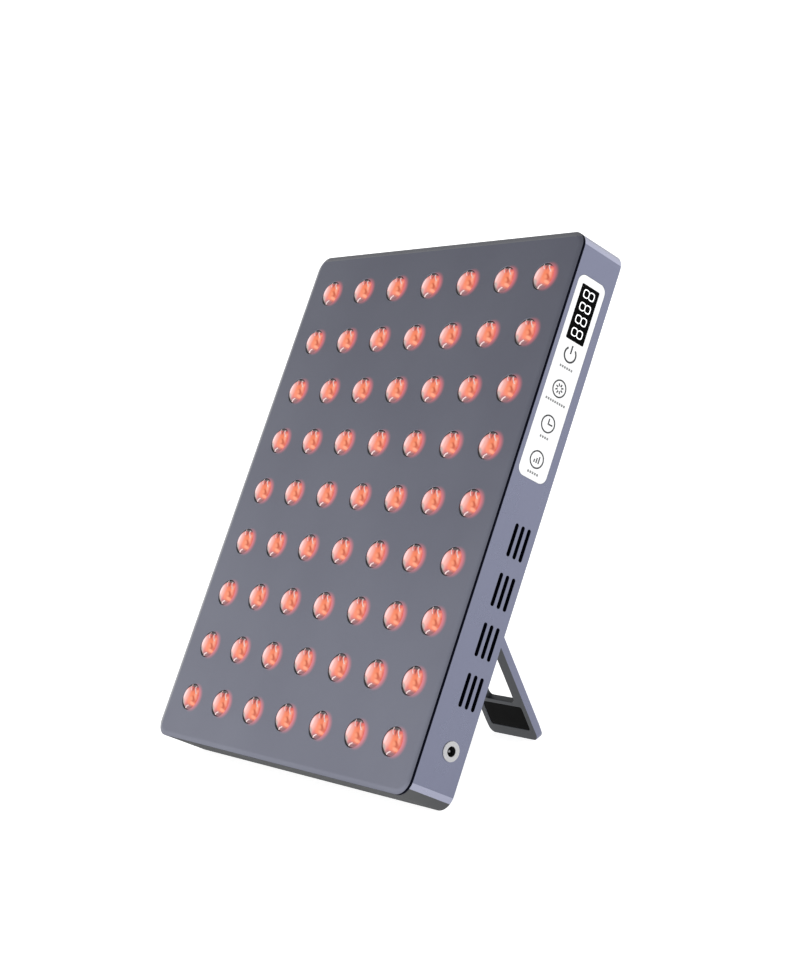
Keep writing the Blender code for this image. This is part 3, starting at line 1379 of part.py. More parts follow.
def fit_cover_screws():
    """The screws round the rear cover."""
    head_front = COVER_BACK - SCREW_HEAD_HEIGHT - STAND_SINK
    for number, (across, up) in enumerate(cover_screw_places(), 1):
        place = Matrix.Translation((across, head_front, up)) @ TURNED_BACK
        piece(f"cover_screw_{number}", screw(COVER_SCREW_BITE), STEEL, PANEL, place)


fit_casing()
fit_lamps()
fit_stand()
fit_controls()
fit_socket()
fit_fans()
fit_driver()
fit_wires()
fit_cover_screws()
bpy.data.collections.remove(GUIDES)
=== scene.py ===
"""Looks of the red light therapy panel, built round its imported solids.

Every piece is shaped on the bench in millimetres as seen from the side that shows: X to the right, Y up and
Z towards the eye. A view then stands it on the leaning panel or on the opened leg, in metres.
"""

import json
import math

import bmesh
import bpy
from mathutils import Matrix, Vector


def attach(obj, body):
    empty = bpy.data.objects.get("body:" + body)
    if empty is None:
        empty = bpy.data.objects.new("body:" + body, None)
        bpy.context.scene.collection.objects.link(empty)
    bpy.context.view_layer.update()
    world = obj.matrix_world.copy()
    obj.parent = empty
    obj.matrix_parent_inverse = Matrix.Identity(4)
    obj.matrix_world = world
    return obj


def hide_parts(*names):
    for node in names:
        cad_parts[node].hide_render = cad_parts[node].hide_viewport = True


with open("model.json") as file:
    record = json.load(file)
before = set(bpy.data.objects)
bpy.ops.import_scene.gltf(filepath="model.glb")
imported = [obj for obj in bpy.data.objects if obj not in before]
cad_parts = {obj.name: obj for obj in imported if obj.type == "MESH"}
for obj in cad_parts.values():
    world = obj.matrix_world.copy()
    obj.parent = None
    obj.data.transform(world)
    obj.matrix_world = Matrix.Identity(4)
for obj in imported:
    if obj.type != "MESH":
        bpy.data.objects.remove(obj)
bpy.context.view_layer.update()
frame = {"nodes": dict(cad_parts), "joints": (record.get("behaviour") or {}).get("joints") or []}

MM = 0.001

# Reading a mesh: how close counts as level, in millimetres, and how much of a face's direction lies along an
# axis when it stands on edge, is turned, faces the eye or is flat
NEAR = 0.01
MERGE_DISTANCE = 0.0005
ON_EDGE = 0.3
TURNED = 0.5
FACING = 0.9
FLAT = 0.999
SHARP_ANGLE = math.radians(35)
EASE_ANGLE = math.radians(40)

# Patterns of the finishes: waves to a metre, heights in metres, and strengths
COAT_CLOUDS = 14
COAT_PATCHES = 60
COAT_GRAINS = 9000
COAT_GRAIN_HEIGHT = 0.00002
COAT_GRAIN_STRENGTH = 0.1
PATCH_ROUGHNESS = 0.04
MOULD_CLOUDS = 40
MOULD_GRAINS = 2500
MOULD_GRAIN_HEIGHT = 0.00004
MOULD_GRAIN_STRENGTH = 0.6
LENS_CLOUDS = 500
FOOT_CLOUDS = 300
DIGIT_CLOUDS = 900
RIB_CLOUDS = 700
CLOUD_LOW = 0.35
CLOUD_HIGH = 0.65

# Casing, in millimetres; depths count back from the plate's face
PANEL_WIDTH = 245
PANEL_HEIGHT = 315.6
PANEL_DEPTH = 31
CORNER_RADIUS = 9
CORNER_STEPS = 12
WALL = 2
PLATE_THICKNESS = 2
# Width and rise of each step of the plate's pillowed edge
PILLOW_STEPS = ((1, 0.32), (1, 0.2), (1, 0.08))
FRAME_FRONT = 2.3
# How far the painted highlight on a rounded corner is turned, and from what tilt on the wall is the
# underside, which carries painted shade
BEND_HEAD = (0.64, 0.955)
BEND_FOOT = (0.87, 0.99)
UNDERSIDE_TILT = -0.45

# Lamps
LED_PITCH = 33
LED_COLUMNS = 7
LED_ROWS = 9
HOLE_DIAMETER = 16
HOLE_EDGE = 0.35
HOLE_STEPS = 40
LENS_DIAMETER = 15.4
LENS_SINK = 0.6
LENS_RIM_THICKNESS = 1.4
LENS_EDGE = 0.2
LENS_FOOT_DIAMETER = 8
DOME_DIAMETER = 14.2
DOME_HEIGHT = 3
DOME_STEPS = 8
LENS_SIDES = 28
# Colour, middle, half sizes, turn in degrees and softness of each spot, in the order they are laid. Most
# spots are the lamp's glow; the pale pink and near-white spots on the left are a painted sheen, a painted
# reflection, and the grey and near-black spots at the top, upper left and lower left are painted shade
LENS_SPOTS = (
    ((0.88, 0.22, 0.1), (3.6, -0.8), (3.0, 5.0), 0, 0.5),
    ((0.55, 0.09, 0.03), (5.1, -1.3), (1.3, 1.8), 20, 0.5),
    ((0.9, 0.28, 0.14), (4.2, -1.2), (0.9, 1.3), 20, 0.6),
    ((0.3, 0.07, 0.05), (2.1, 5.4), (0.55, 2.2), 25, 0.6),
    ((0.26, 0.13, 0.145), (1.6, -7.2), (5.4, 1.9), 0, 0.6),
    ((0.95, 0.36, 0.21), (5.0, -3.9), (1.2, 0.9), -15, 0.6),
    ((0.95, 0.38, 0.25), (5.9, 1.9), (0.6, 2.6), 12, 0.6),
    ((0.86, 0.4, 0.34), (-1.6, 0.2), (3.0, 4.6), -15, 0.5),
    ((0.86, 0.56, 0.56), (-3.9, 0.9), (2.2, 3.2), -20, 0.5),
    ((0.37, 0.3, 0.28), (-4.4, -4.0), (2.8, 1.8), -10, 0.5),
    ((0.12, 0.115, 0.11), (-4.3, -6.1), (3.2, 1.5), -35, 0.5),
    ((0.24, 0.2, 0.18), (-3.4, 6.1), (2.2, 1.2), 30, 0.5),
    ((0.07, 0.07, 0.075), (0.6, 7.3), (5.2, 1.4), 0, 0.5),
)
# Start and end of each rib
LENS_RIBS = (
    ((-2.3, 7.3), (1.7, 3.3)),
    ((2.5, 6.6), (6.0, 2.2)),
    ((-1.7, -7.2), (2.6, -5.4)),
)
RIB_WIDTH = 0.45
RIB_RISE = 0.1
RIB_OUTER_RISE = -0.15
RIB_STEPS = 6
SPILL_RED = (0.58, 0.06, 0.06)
SPILL_SHIFT = (3.4, -0.2)
SPILL_RADIUS = 7.1
SPILL_SOFT = 0.32
SPILL_MARGIN = 0.01
BOARD_FRONT = 8.3
BOARD_THICKNESS = 1.6
BOARD_WIDTH = 214
BOARD_HEIGHT = 282
BOARD_RADIUS = 2

# Control strip on the right wall; heights count up from the panel's middle
STRIP_DEPTH = 15.5
STRIP_FACE = 122.4
STRIP_LENGTH = 115.3
STRIP_WIDTH = 20.6
STRIP_RADIUS = 4.6
STRIP_TOP = 135.6
STRIP_THICKNESS = 0.5
STRIP_SEAT_GAP = 0.12
SEAT_FLOOR = 121.6
WINDOW_LENGTH = 31.7
WINDOW_WIDTH = 13.4
WINDOW_RADIUS = 0.8
WINDOW_STEPS = 4
WINDOW_RISE = 115.15
WINDOW_THICKNESS = 1.2
WINDOW_GAP = 0.05
KEY_RISES = {"power": 91.7, "brightness": 72.07, "timer": 51.79, "mode": 31.5}
KEY_DIAMETER = 11.4
KEY_GAP = 0.03
KEY_THICKNESS = 1.2
KEY_SIDES = 64
PRINT_RISE = 0.03
DIGITS = 4
DIGIT_PITCH = 7.4
DIGIT_HEIGHT = 8.4
DIGIT_WIDTH = 4.85
DIGIT_STROKE = 0.56
DIGIT_CORNER = 1.35
DIGIT_STEPS = 2
DIGIT_SHIFT = 0.2
DIGIT_GAP = 0.014

# Printed signs; a bar's reach is where its middle lies
SIGN_STROKE = 0.85
SIGN_DIAMETER = 10.1
RING_STEPS = 48
POWER_STROKE = 1.05
POWER_DIAMETER = 9.3
POWER_GAP = math.radians(76)
POWER_BAR_LENGTH = 4.7
POWER_BAR_REACH = 2.85
RAYS = 8
RAY_LENGTH = 1.6
RAY_REACH = 2.1
MINUTE_HAND_LENGTH = 3.4
MINUTE_HAND_REACH = 1.3
HOUR_HAND_LENGTH = 2.8
HOUR_HAND_REACH = 1.8
LEVEL_HEIGHT = 2.9
LEVEL_STEP = 1.1
LEVEL_PITCH = 1.6
LEVEL_FOOT = -2
CAPTION_WIDTHS = {"power": 10, "brightness": 15.5, "timer": 7, "mode": 8.7}
CAPTION_DROP = 7.6
CAPTION_HEIGHT = 1.3
CAPTION_DASH = 1.15
CAPTION_PITCH = 1.7

# Vents on both side walls
VENT_LENGTH = 18.3
VENT_WIDTH = 2.3
VENT_RADIUS = 1.149
VENT_PITCH = 4.55
VENT_GROUP_PITCH = 27.5
VENT_FIRST_RISE = -13.5
VENT_DEPTH = 20.9
VENT_GROUPS = 4
VENTS_IN_GROUP = 3
VENT_EDGE = 0.2
VENT_STEPS = 6
WALL_MARGIN = 1
# A black sheet behind the vents: painted shade of the casing's inside
SHADE_SHEET_FRONT = 14.5
SHADE_SHEET_BACK = 26.8
SHADE_SHEET_REST = 120.3
SHADE_SHEET_THICKNESS = 0.5
SHADE_SHEET_RADIUS = 1

# Socket
JACK_DEPTH = 20
JACK_RISE = -128.1
JACK_BORE_DIAMETER = 5.5
JACK_BORE_DEPTH = 8
JACK_PIN_DIAMETER = 1.9
JACK_PIN_SINK = 1.2
JACK_PIN_NOSE = 0.5
JACK_BARREL_DIAMETER = 8.2
JACK_LENGTH = 13.6
JACK_RING_DIAMETER = 10.8
JACK_RING_FOOT = 0.1
JACK_RING_TOP = 0.5
JACK_RING_EDGE = 0.15
JACK_SIDES = 48

# Leg, along its length from the hinge
HINGE_DEPTH = 28.15
HINGE_RISE = 28
LEG_WIDTH = 44.5
LEG_LENGTH = 183.2
LEG_THICKNESS = 4.9
LEG_HEEL = 4.2
LEG_FOOT_RADIUS = 4.5
LEG_STEPS = 8
LEG_EDGE = 0.45
LEG_WINDOW_WIDTH = 27
LEG_WINDOW_HEAD = 34
LEG_WINDOW_FOOT = 26
LEG_WINDOW_RADIUS = 2.5
LEG_WINDOW_STEPS = 6
LEG_WINDOW_MARGIN = 0.5
PAD_WIDTH = 35.6
PAD_HEIGHT = 16
PAD_FOOT = 7
PAD_THICKNESS = 0.8
PAD_SINK = 0.1
PAD_RADIUS = 1.5
PAD_EDGE = 0.2
CLEARANCE = 0.3

# Camera in the panel's own millimetres, and floor and lights in metres
CAMERA_PLACE = (891.3, -623.2, -210.5)
CAMERA_SIGHT = (35.6, 0, 5.95)
CAMERA_ROLL = math.radians(-2.336)
CAMERA_LENS = 71.69
FLOOR_REACH = 20
FLOOR_WHITE = (0.6, 0.6, 0.6)
FLOOR_ROUGHNESS = 0.8
FLOOR_GLOW = 0.88
# Height and brightness of the studio's sky, from the horizon up
SKY = ((0.0, 1.5), (0.2, 1.5), (0.34, 1.0), (0.5, 0.42), (1.0, 0.3))
BACK_CARD_PLACE = (0.3, 1.6, 0.8)
BACK_CARD_AIM = (0, 0, 0.3)
BACK_CARD_SIZE = 1.2
BACK_CARD_POWER = 3.5
FRONT_CARD_PLACE = (-0.85, -1.4, 0.75)
FRONT_CARD_AIM = (0, 0, 0.15)
FRONT_CARD_SIZE = 1.0
FRONT_CARD_POWER = 1.8

# How the panel leans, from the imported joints
joints = {joint["name"]: joint for joint in frame["joints"]}
hinge_place = Vector(joints["stand_hinge"]["pos_m"])
open_angle = math.radians(-joints["stand_hinge"]["range_deg"][0])
lean = math.asin(-joints["fan_spin_left"]["axis"][2])
hinge_on_panel = Vector((0, HINGE_DEPTH, HINGE_RISE)) * MM
panel = (
    Matrix.Translation(hinge_place)
    @ Matrix.Rotation(-lean, 4, "X")
    @ Matrix.Translation(-hinge_on_panel)
    @ Matrix.Scale(MM, 4)
)
leg = Matrix.Translation(hinge_place) @ Matrix.Rotation(open_angle - lean, 4, "X") @ Matrix.Scale(MM, 4)


def facing(across, up, out):
    """A turn that points the bench's X, Y and Z these ways."""
    return Matrix((across, up, out)).transposed().to_4x4()


front_view = panel @ facing((1, 0, 0), (0, 0, 1), (0, -1, 0))
right_view = panel @ facing((0, 1, 0), (0, 0, 1), (1, 0, 0))
leg_view = leg @ facing((1, 0, 0), (0, 0, 1), (0, -1, 0))


# Bench work

def rounded_face(bm, width, height, radius, x=0.0, y=0.0, z=0.0, steps=CORNER_STEPS):
    """A flat rounded rectangle."""
    place = Matrix.Translation((x, y, z)) @ Matrix.Diagonal((width, height, 1, 1))
    corners = bmesh.ops.create_grid(bm, x_segments=1, y_segments=1, size=0.5, matrix=place)["verts"]
    bmesh.ops.bevel(
        bm, geom=corners, offset=radius, segments=steps, profile=0.5, affect="VERTICES", material=-1
    )


def round_face(bm, diameter, sides, x=0.0, y=0.0, z=0.0):
    """A flat disc."""
    place = Matrix.Translation((x, y, z))
    bmesh.ops.create_circle(bm, cap_ends=True, segments=sides, radius=diameter / 2, matrix=place)


def punch(bm):
    """Turn outlines that lie inside each other into one sheet with holes."""
    bmesh.ops.delete(bm, geom=bm.faces[:], context="FACES_ONLY")
    bmesh.ops.triangle_fill(bm, use_beauty=True, use_dissolve=False, edges=bm.edges[:], normal=(0, 0, 1))


def thicken(bm, thickness):
    """Give flat sheets a body below their faces."""
    made = bmesh.ops.extrude_face_region(bm, geom=bm.faces[:])["geom"]
    sunk = [part for part in made if isinstance(part, bmesh.types.BMVert)]
    bmesh.ops.translate(bm, vec=(0, 0, -thickness), verts=sunk)
    bmesh.ops.recalc_face_normals(bm, faces=bm.faces[:])


def ease(bm, width, steps, wanted):
    """Round the sharp edges whose two ends the test wants."""
    edges = [
        edge for edge in bm.edges
        if edge.is_manifold and edge.calc_face_angle() > EASE_ANGLE and all(wanted(v.co) for v in edge.verts)
    ]
    bmesh.ops.bevel(bm, geom=edges, offset=width, segments=steps, profile=0.5, affect="EDGES", material=-1)


def turn(bm, profile, sides):
    """A turned form about Z from (radius, height) points that run from the top down the outside."""
    points = [bm.verts.new((radius, 0, height)) for radius, height in profile]
    lines = [bm.edges.new(pair) for pair in zip(points, points[1:])]
    bmesh.ops.spin(
        bm, geom=points + lines, cent=(0, 0, 0), axis=(0, 0, 1), dvec=(0, 0, 0), angle=2 * math.pi,
        steps=sides, use_merge=True
    )
    bmesh.ops.remove_doubles(bm, verts=bm.verts[:], dist=2 * MERGE_DISTANCE)
    bmesh.ops.recalc_face_normals(bm, faces=bm.faces[:])


def arc(middle, radius, start, end, steps):
    """Points round a middle between two angles."""
    angles = [start + (end - start) * step / steps for step in range(steps + 1)]
    return [(middle[0] + radius * math.cos(angle), middle[1] + radius * math.sin(angle)) for angle in angles]


def add_copies(bm, pattern, places):
    """Add the pattern's mesh at each place."""
    for place in places:
        known = len(bm.verts)
        bm.from_mesh(pattern)
        bm.verts.ensure_lookup_table()
        bmesh.ops.transform(bm, matrix=place, verts=bm.verts[known:])


def as_mesh(bm, name="bench"):
    """The bench work as a mesh; the bench is cleared."""
    mesh = bpy.data.meshes.new(name)
    bm.to_mesh(mesh)
    bm.free()
    return mesh


def carve(bm, tool):
    """Cut a tool out of the bench work."""
    body = bpy.data.objects.new("body", as_mesh(bm))
    cutter = bpy.data.objects.new("tool", as_mesh(tool))
    for helper in (body, cutter):
        bpy.context.scene.collection.objects.link(helper)
    boolean = body.modifiers.new("carve", "BOOLEAN")
    boolean.object = cutter
    boolean.operation = "DIFFERENCE"
    boolean.solver = "EXACT"
    result = bpy.data.meshes.new_from_object(body.evaluated_get(bpy.context.evaluated_depsgraph_get()))
    for helper in (body, cutter):
        bpy.data.objects.remove(helper)
    carved = bmesh.new()
    carved.from_mesh(result)
    bmesh.ops.remove_doubles(carved, verts=carved.verts[:], dist=MERGE_DISTANCE)
    bmesh.ops.dissolve_degenerate(carved, edges=carved.edges[:], dist=MERGE_DISTANCE)
    return carved


def fit(name, bm, view, finishes, body, stands_for=()):
    """Stand the bench work in its place as one finished piece."""
    bmesh.ops.transform(bm, matrix=view, verts=bm.verts[:])
    piece = bpy.data.objects.new(name, as_mesh(bm, name))
    bpy.context.scene.collection.objects.link(piece)
    for finish in finishes:
        piece.data.materials.append(finish)
    piece.data.shade_smooth()
    piece.data.set_sharp_from_angle(angle=SHARP_ANGLE)
    weighted = piece.modifiers.new("even_shading", "WEIGHTED_NORMAL")
    weighted.keep_sharp = True
    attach(piece, body)
    if stands_for:
        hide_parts(*stands_for)


# Finishes

def shader_socket(material, name):
    """A socket of the finish's shader."""
    return material.node_tree.nodes["Principled BSDF"].inputs[name]


def finish(name, colour, roughness, **sockets):
    """A Principled finish with its plain values set."""
    material = bpy.data.materials.new(name)
    material.use_nodes = True
    shader_socket(material, "Base Color").default_value = (*colour, 1)
    shader_socket(material, "Roughness").default_value = roughness
    for socket, value in sockets.items():
        shader_socket(material, socket.replace("_", " ")).default_value = value
    return material


def node(material, kind, **values):
    """A new node with its properties set."""
    made = material.node_tree.nodes.new(kind)
    for name, value in values.items():
        setattr(made, name, value)
    return made


def join(material, source, target):
    """A link between two sockets."""
    material.node_tree.links.new(source, target)



def object_place(material):
    """Object coordinates turned upright with the leaning panel."""
    place = node(material, "ShaderNodeTexCoord")
    mapping = node(material, "ShaderNodeMapping")
    mapping.inputs["Rotation"].default_value = (lean, 0, 0)
    join(material, place.outputs["Object"], mapping.inputs["Vector"])
    return mapping.outputs["Vector"]


def add_noise(material, per_metre, detail):
    """A noise pattern in object space."""
    noise = node(material, "ShaderNodeTexNoise")
    noise.inputs["Scale"].default_value = per_metre
    noise.inputs["Detail"].default_value = detail
    join(material, object_place(material), noise.inputs["Vector"])
    return noise.outputs["Fac"]


def add_ramp(material, value, stops):
    """A colour ramp of (position, colour) stops."""
    ramp = node(material, "ShaderNodeValToRGB")
    elements = ramp.color_ramp.elements
    elements[0].position, elements[0].color = stops[0][0], (*stops[0][1], 1)
    elements[1].position, elements[1].color = stops[-1][0], (*stops[-1][1], 1)
    for position, colour in stops[1:-1]:
        elements.new(position).color = (*colour, 1)
    join(material, value, ramp.inputs["Fac"])
    return ramp.outputs["Color"]


def shade_between(material, value, dark, light):
    """Vary the base colour with a pattern."""
    colour = add_ramp(material, value, [(CLOUD_LOW, dark), (CLOUD_HIGH, light)])
    join(material, colour, shader_socket(material, "Base Color"))


def vary_roughness(material, value, low, high):
    """Vary the roughness with a pattern."""
    spread = node(material, "ShaderNodeMapRange")
    spread.inputs["To Min"].default_value = low
    spread.inputs["To Max"].default_value = high
    join(material, value, spread.inputs["Value"])
    join(material, spread.outputs["Result"], shader_socket(material, "Roughness"))


def roughen(material, value, height, strength):
    """Raise the surface with a pattern, by a height in metres."""
    bump = node(material, "ShaderNodeBump")
    bump.inputs["Strength"].default_value = strength
    bump.inputs["Distance"].default_value = height
    join(material, value, bump.inputs["Height"])
    join(material, bump.outputs["Normal"], shader_socket(material, "Normal"))


def satin(name, dark, light, roughness, metallic, grain=COAT_GRAINS):
    """Satin metal coat: a faint cloudiness and a fine even grain."""
    material = finish(name, light, roughness, Metallic=metallic)
    shade_between(material, add_noise(material, COAT_CLOUDS, 3), dark, light)
    patches = add_noise(material, COAT_PATCHES, 4)
    vary_roughness(material, patches, roughness - PATCH_ROUGHNESS, roughness + PATCH_ROUGHNESS)
    roughen(material, add_noise(material, grain, 2), COAT_GRAIN_HEIGHT, COAT_GRAIN_STRENGTH)
    return material


def moulded(name, dark, light, roughness, grain=MOULD_GRAINS, height=MOULD_GRAIN_HEIGHT, **sockets):
    """Moulded plastic or rubber with a fine spark-eroded grain."""
    material = finish(name, light, roughness, **sockets)
    shade_between(material, add_noise(material, MOULD_CLOUDS, 3), dark, light)
    roughen(material, add_noise(material, grain, 3), height, MOULD_GRAIN_STRENGTH)
    return material


plate_coat = satin("plate_coat", (0.155, 0.161, 0.206), (0.168, 0.175, 0.221), 0.34, 0.7)
# Painted light: a duller, less metallic copy of the plate's coat, so the shaded hole walls render lighter
bore_coat = satin("bore_coat", (0.12, 0.124, 0.135), (0.14, 0.144, 0.155), 0.5, 0.2)
# Painted highlight: a lighter copy of the plate's coat for the left and top slopes of the pillowed edge
plate_rim_highlight = satin("plate_rim_highlight", (0.22, 0.225, 0.25), (0.24, 0.245, 0.27), 0.34, 0.7)
# Black for the plate's side; inside the vents and on the sheets behind them it is painted shade
black_edge_and_vent_shade = moulded(
    "black_edge_and_vent_shade", (0.001, 0.0015, 0.006), (0.002, 0.0025, 0.008), 0.6, Specular_IOR_Level=0.02
)
casing_coat = satin("casing_coat", (0.18, 0.19, 0.264), (0.187, 0.197, 0.272), 0.28, 0.85)
# Painted highlight: a lighter copy of the casing's coat for a band on each rounded corner
bend_highlight_coat = satin("bend_highlight_coat", (0.33, 0.34, 0.44), (0.345, 0.355, 0.455), 0.28, 0.85)
# Painted shade: a dark, dull coat for the casing's underside
underside_shade_coat = moulded(
    "underside_shade_coat", (0.085, 0.087, 0.09), (0.095, 0.097, 0.1), 0.9, Specular_IOR_Level=0.05
)
# Painted shade: dark grey for the leg's front face and the walls of its window
leg_shade_grey = satin("leg_shade_grey", (0.036, 0.039, 0.045), (0.042, 0.045, 0.051), 0.4, 0.55)
cover_plastic = moulded("cover_plastic", (0.096, 0.098, 0.112), (0.104, 0.106, 0.12), 0.5)
black_plastic = moulded("black_plastic", (0.012, 0.012, 0.013), (0.02, 0.02, 0.021), 0.45)
pad_rubber = moulded(
    "pad_rubber", (0.006, 0.006, 0.006), (0.01, 0.01, 0.01), 0.8, 1800, 0.00008, Specular_IOR_Level=0.03
)
foam_black = moulded("foam_black", (0.01, 0.01, 0.012), (0.02, 0.02, 0.024), 0.95, 1500, 0.0002)
# The film's faint white glow is painted light; the film is no lamp
film_white = moulded(
    "film_white", (0.92, 0.93, 0.94), (0.95, 0.96, 0.96), 0.35, 5000, 0.00001, Emission_Color=(1, 1, 1, 1),
    Emission_Strength=0.06
)
print_grey = moulded("print_grey", (0.025, 0.025, 0.027), (0.035, 0.035, 0.038), 0.5)
caption_grey = moulded("caption_grey", (0.2, 0.2, 0.2), (0.26, 0.26, 0.26), 0.5)
window_black = moulded(
    "window_black", (0.001, 0.001, 0.001), (0.0015, 0.0015, 0.0015), 0.12, 400, 0.00001,
    Specular_IOR_Level=0.02
)
board_white = moulded("board_white", (0.55, 0.56, 0.56), (0.65, 0.66, 0.66), 0.4)
board_green = moulded("board_green", (0.01, 0.09, 0.03), (0.015, 0.13, 0.045), 0.4)
wire_red = moulded("wire_red", (0.3, 0.012, 0.012), (0.4, 0.02, 0.02), 0.4)
wire_grey = moulded("wire_grey", (0.18, 0.18, 0.19), (0.24, 0.24, 0.25), 0.4)
bare_metal = satin("bare_metal", (0.55, 0.55, 0.57), (0.65, 0.65, 0.67), 0.38, 1.0, 4000)
screw_steel = satin("screw_steel", (0.2, 0.2, 0.21), (0.26, 0.26, 0.27), 0.3, 1.0)
ring_metal = satin("ring_metal", (0.46, 0.46, 0.47), (0.5, 0.5, 0.51), 0.35, 0.3)


def mark_place(material, layer):
    """The piece's own coordinates, as marked on the bench."""
    return node(material, "ShaderNodeUVMap", uv_map=layer).outputs["UV"]


def add_spot(material, place, under, colour, middle, size, angle=0.0, soft=0.5):
    """Lay a soft oval spot over a colour; its middle and half sizes are in the marked coordinates."""
    mapping = node(material, "ShaderNodeMapping", vector_type="TEXTURE")
    mapping.inputs["Location"].default_value = (*middle, 0)
    mapping.inputs["Rotation"].default_value = (0, 0, angle)
    mapping.inputs["Scale"].default_value = (*size, 1)
    length = node(material, "ShaderNodeVectorMath", operation="LENGTH")
    fade = node(material, "ShaderNodeMapRange", interpolation_type="SMOOTHSTEP")
    fade.inputs["From Min"].default_value = 1 + soft
    fade.inputs["From Max"].default_value = 1 - soft
    mix = node(material, "ShaderNodeMix", data_type="RGBA")
    mix.inputs["B"].default_value = (*colour, 1)
    join(material, place, mapping.inputs["Vector"])
    join(material, mapping.outputs["Vector"], length.inputs[0])
    join(material, length.outputs["Value"], fade.inputs["Value"])
    join(material, fade.outputs["Result"], mix.inputs["Factor"])
    join(material, under, mix.inputs["A"])
    return mix.outputs["Result"]


def glowing_lens():
    """The lit lens: salmon, an orange core with peach sparks on its right, a painted pale sheen (a painted
    reflection) on its left, and painted shade at its top and lower left.
    """
    material = finish("lens_glow", (0.05, 0.02, 0.02), 0.3, Emission_Strength=1.0)
    place = mark_place(material, "lens")
    cloud = add_noise(material, LENS_CLOUDS, 2)
    colour = add_ramp(material, cloud, [(CLOUD_LOW, (0.62, 0.11, 0.11)), (CLOUD_HIGH, (0.75, 0.15, 0.14))])
    for shade, middle, size, angle, soft in LENS_SPOTS:
        colour = add_spot(material, place, colour, shade, middle, size, math.radians(angle), soft)
    join(material, colour, shader_socket(material, "Emission Color"))
    return material


def smoky_foot():
    """The smoky foot of the lens."""
    material = finish("lens_foot", (0.08, 0.08, 0.08), 0.3)
    shade_between(material, add_noise(material, FOOT_CLOUDS, 2), (0.04, 0.04, 0.045), (0.08, 0.08, 0.085))
    return material


def spill_red(material):
    """The lamps' red light, painted as a glow beside every hole: one spot, repeated at the lamps' pitch."""
    place = mark_place(material, "pitch")
    lowest = node(material, "ShaderNodeVectorMath", operation="MAXIMUM")
    lowest.inputs[1].default_value = (SPILL_MARGIN, SPILL_MARGIN, 0)
    highest = node(material, "ShaderNodeVectorMath", operation="MINIMUM")
    highest.inputs[1].default_value = (LED_COLUMNS - SPILL_MARGIN, LED_ROWS - SPILL_MARGIN, 0)
    wrap = node(material, "ShaderNodeVectorMath", operation="FRACTION")
    join(material, place, lowest.inputs[0])
    join(material, lowest.outputs["Vector"], highest.inputs[0])
    join(material, highest.outputs["Vector"], wrap.inputs[0])
    middle = [0.5 + shift / LED_PITCH for shift in SPILL_SHIFT]
    size = [SPILL_RADIUS / LED_PITCH] * 2
    dark = node(material, "ShaderNodeRGB")
    dark.outputs["Color"].default_value = (0, 0, 0, 1)
    under = dark.outputs["Color"]
    glow = add_spot(material, wrap.outputs["Vector"], under, SPILL_RED, middle, size, soft=SPILL_SOFT)
    shader_socket(material, "Emission Strength").default_value = 1.0
    join(material, glow, shader_socket(material, "Emission Color"))


def lit_digits():
    """The display's lit digits."""
    material = finish("digit_glow", (0.8, 0.82, 0.82), 0.4, Emission_Strength=0.85)
    cloud = add_noise(material, DIGIT_CLOUDS, 1)
    pale = add_ramp(material, cloud, [(0.3, (0.86, 0.88, 0.88)), (0.7, (1.0, 1.0, 1.0))])
    join(material, pale, shader_socket(material, "Emission Color"))
    return material


def lit_rib():
    """The lens's fine ribs, which glow with painted glints of the lamp's light."""
    material = finish("rib_glow", (0.5, 0.4, 0.4), 0.2, Emission_Strength=0.5)
    cloud = add_noise(material, RIB_CLOUDS, 1)
    pale = add_ramp(material, cloud, [(CLOUD_LOW, (0.7, 0.45, 0.43)), (CLOUD_HIGH, (1.0, 0.75, 0.72))])
    join(material, pale, shader_socket(material, "Emission Color"))
    return material


spill_red(plate_coat)
spill_red(bore_coat)
lens_glow = glowing_lens()
lens_foot = smoky_foot()
digit_glow = lit_digits()
rib_glow = lit_rib()


# Front plate and lamps

def lamp_places():
    """(x, y) of every lamp on the front."""
    columns = [(column - (LED_COLUMNS - 1) / 2) * LED_PITCH for column in range(LED_COLUMNS)]
    rows = [(row - (LED_ROWS - 1) / 2) * LED_PITCH for row in range(LED_ROWS)]
    return [(x, y) for y in rows for x in columns]


